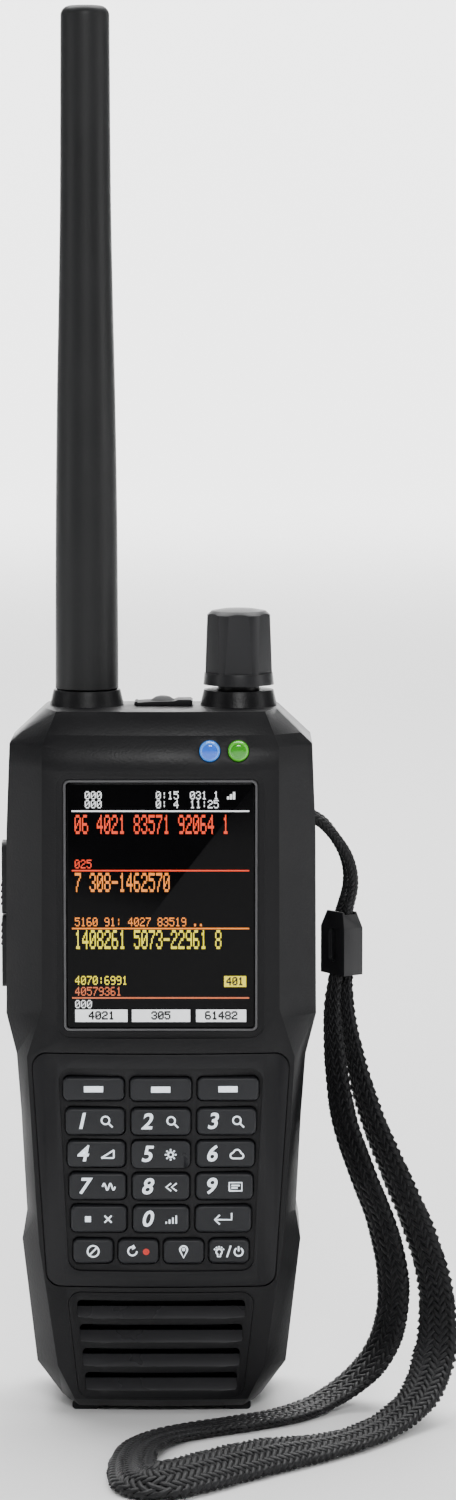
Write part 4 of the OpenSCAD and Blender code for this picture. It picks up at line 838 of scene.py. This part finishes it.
def screw_tree(finish):
    """One screw at each place: a domed head, its cross recess, and a shank of that place's length."""
    tree = bpy.data.node_groups.new("machine screws", "GeometryNodeTree")
    tree.interface.new_socket("Places", in_out="INPUT", socket_type="NodeSocketGeometry")
    for label, value in (("Head Radius", 0.0022), ("Head Height", HEAD_HEIGHT), ("Shank Radius", 0.0011),
                         ("Recess Span", 0.0026), ("Recess Width", 0.0006), ("Recess Depth", 0.0008)):
        socket = tree.interface.new_socket(label, in_out="INPUT", socket_type="NodeSocketFloat")
        socket.default_value = value
    tree.interface.new_socket("Screws", in_out="OUTPUT", socket_type="NodeSocketGeometry")
    start = tree.nodes.new("NodeGroupInput")
    end = tree.nodes.new("NodeGroupOutput")

    def node(kind, **settings):
        made = tree.nodes.new(kind)
        for key, value in settings.items():
            setattr(made, key, value)
        return made

    def link(a, a_socket, b, b_socket):
        tree.links.new(a.outputs[a_socket], b.inputs[b_socket])

    head = node("GeometryNodeMeshCone")
    head.inputs["Vertices"].default_value = 36
    shoulder = node("ShaderNodeMath", operation="MULTIPLY")
    shoulder.inputs[1].default_value = 0.8
    link(start, "Head Radius", shoulder, 0)
    link(start, "Head Radius", head, "Radius Bottom")
    link(shoulder, 0, head, "Radius Top")
    link(start, "Head Height", head, "Depth")
    size_a, size_b, lift = (node("ShaderNodeCombineXYZ") for _ in range(3))
    twice = node("ShaderNodeMath", operation="MULTIPLY")
    twice.inputs[1].default_value = 2.0
    link(start, "Recess Depth", twice, 0)
    for size, first, second in ((size_a, "Recess Span", "Recess Width"),
                                (size_b, "Recess Width", "Recess Span")):
        link(start, first, size, "X")
        link(start, second, size, "Y")
        link(twice, 0, size, "Z")
    link(start, "Head Height", lift, "Z")
    cut = node("GeometryNodeMeshBoolean", operation="DIFFERENCE")
    tree.links.new(head.outputs["Mesh"], cut.inputs[0])
    for size in (size_a, size_b):
        bar = node("GeometryNodeMeshCube")
        moved = node("GeometryNodeTransform")
        link(size, "Vector", bar, "Size")
        link(bar, "Mesh", moved, "Geometry")
        link(lift, "Vector", moved, "Translation")
        tree.links.new(moved.outputs[0], cut.inputs[1])
    shank = node("GeometryNodeMeshCylinder")
    shank.inputs["Vertices"].default_value = 20
    shank.inputs["Depth"].default_value = 1.0
    link(start, "Shank Radius", shank, "Radius")
    sunk = node("GeometryNodeTransform")
    sunk.inputs["Translation"].default_value = (0, 0, -0.5)
    link(shank, "Mesh", sunk, "Geometry")
    length = node("GeometryNodeInputNamedAttribute", data_type="FLOAT")
    length.inputs["Name"].default_value = "shank_length"
    stretch = node("ShaderNodeCombineXYZ")
    stretch.inputs["X"].default_value = 1.0
    stretch.inputs["Y"].default_value = 1.0
    tree.links.new(length.outputs["Attribute"], stretch.inputs["Z"])
    joined = node("GeometryNodeJoinGeometry")
    for shape, scale in ((cut.outputs[0], None), (sunk.outputs[0], stretch)):
        placed = node("GeometryNodeInstanceOnPoints")
        placed.inputs["Rotation"].default_value = (-math.pi / 2, 0, 0)
        link(start, "Places", placed, "Points")
        tree.links.new(shape, placed.inputs["Instance"])
        if scale is not None:
            link(scale, "Vector", placed, "Scale")
        link(placed, "Instances", joined, 0)
    real = node("GeometryNodeRealizeInstances")
    painted = node("GeometryNodeSetMaterial")
    painted.inputs["Material"].default_value = finish
    link(joined, 0, real, 0)
    link(real, 0, painted, "Geometry")
    link(painted, 0, end, 0)
    return tree


loose = bmesh.new()
loose.from_mesh(nodes["screws"].data)
bmesh.ops.remove_doubles(loose, verts=loose.verts, dist=1e-6)
# Each separate shell is one screw, and gives its place and how long its shank is
places, lengths, seen = [], [], set()
for vertex in loose.verts:
    if vertex in seen:
        continue
    island, queue = [], [vertex]
    seen.add(vertex)
    while queue:
        v = queue.pop()
        island.append(v.co.copy())
        for edge in v.link_edges:
            other = edge.other_vert(v)
            if other not in seen:
                seen.add(other)
                queue.append(other)
    lowest = Vector([min(c[k] for c in island) for k in range(3)])
    highest = Vector([max(c[k] for c in island) for k in range(3)])
    middle = (lowest + highest) / 2
    places.append((middle.x, highest.y - HEAD_HEIGHT, middle.z))
    lengths.append(highest.y - HEAD_HEIGHT - lowest.y)
loose.free()
holder_data = bpy.data.meshes.new("screw places")
holder_data.from_pydata(places, [], [])
holder_data.attributes.new("shank_length", "FLOAT", "POINT").data.foreach_set("value", lengths)
holder = placed("screw places", holder_data)
screwing = holder.modifiers.new("screws", "NODES")
screwing.node_group = screw_tree(black_zinc)
sockets = {s.name: s.identifier for s in screwing.node_group.interface.items_tree if s.in_out == "INPUT"}
screwing[sockets["Head Height"]] = HEAD_HEIGHT
bpy.context.view_layer.update()
screw_mesh = bpy.data.meshes.new_from_object(holder.evaluated_get(bpy.context.evaluated_depsgraph_get()))
bpy.data.objects.remove(holder)
screw_mesh.shade_smooth()
screw_mesh.set_sharp_from_angle(angle=math.radians(25))
fit(placed("case_screws", screw_mesh), "case", "screw_steel", None, "screws")

# --- Studio ---------------------------------------------------------------------------------------
# A pale seamless sweep under and behind the radio, lit by large soft panels and a bright room.
SWEEP_BACK = 4.2
SWEEP_ROUND = 0.8
SWEEP_WIDE = 10.0
sweep = bmesh.new()
line = [(-5.0, 0.0), (SWEEP_BACK, 0.0)]
line += [(SWEEP_BACK + SWEEP_ROUND * math.sin(a), SWEEP_ROUND - SWEEP_ROUND * math.cos(a))
         for a in map(math.radians, range(10, 91, 10))]
line += [(SWEEP_BACK + SWEEP_ROUND, 5.0)]
edges = [[sweep.verts.new((x, y, z)) for y, z in line] for x in (-SWEEP_WIDE / 2, SWEEP_WIDE / 2)]
for k in range(len(line) - 1):
    sweep.faces.new((edges[0][k], edges[1][k], edges[1][k + 1], edges[0][k + 1])).smooth = True
floor = solid("sweep", sweep)
paper, _, paper_shader = fresh("white paper")
paper_shader.inputs["Base Color"].default_value = (0.86, 0.86, 0.86, 1)
paper_shader.inputs["Roughness"].default_value = 0.85
floor.data.materials.append(paper)


def panel_light(name, place, aim, width, height, power):
    """A soft white rectangular light that faces a point."""
    data = bpy.data.lights.new(name, "AREA")
    data.shape = "RECTANGLE"
    data.size = width
    data.size_y = height
    data.energy = power
    light = placed(name, data)
    light.location = place
    light.rotation_euler = (Vector(aim) - Vector(place)).to_track_quat("-Z", "Y").to_euler()


panel_light("left panel", (-0.8, -0.3, 0.4), (0, 0, 0.13), 0.3, 0.8, 1.5)
panel_light("right panel", (0.8, -0.2, 0.4), (0, 0, 0.12), 0.3, 0.8, 2.2)
panel_light("top panel", (0.0, 0.75, 1.6), (0, 0.25, 0), 1.8, 1.2, 70)
panel_light("front panel", (0.1, -1.5, 0.95), (0, 0, 0.12), 0.5, 0.25, 14)
for side in (-1, 1):
    panel_light(f"wall panel {side}", (side * 1.8, 3.2, 1.7), (side * 0.3, 4.8, 0.5), 0.9, 1.4, 185)
room = bpy.data.worlds.new("room")
room.use_nodes = True
room.node_tree.nodes["Background"].inputs["Color"].default_value = (1, 1, 1, 1)
room.node_tree.nodes["Background"].inputs["Strength"].default_value = 0.12
bpy.context.scene.world = room
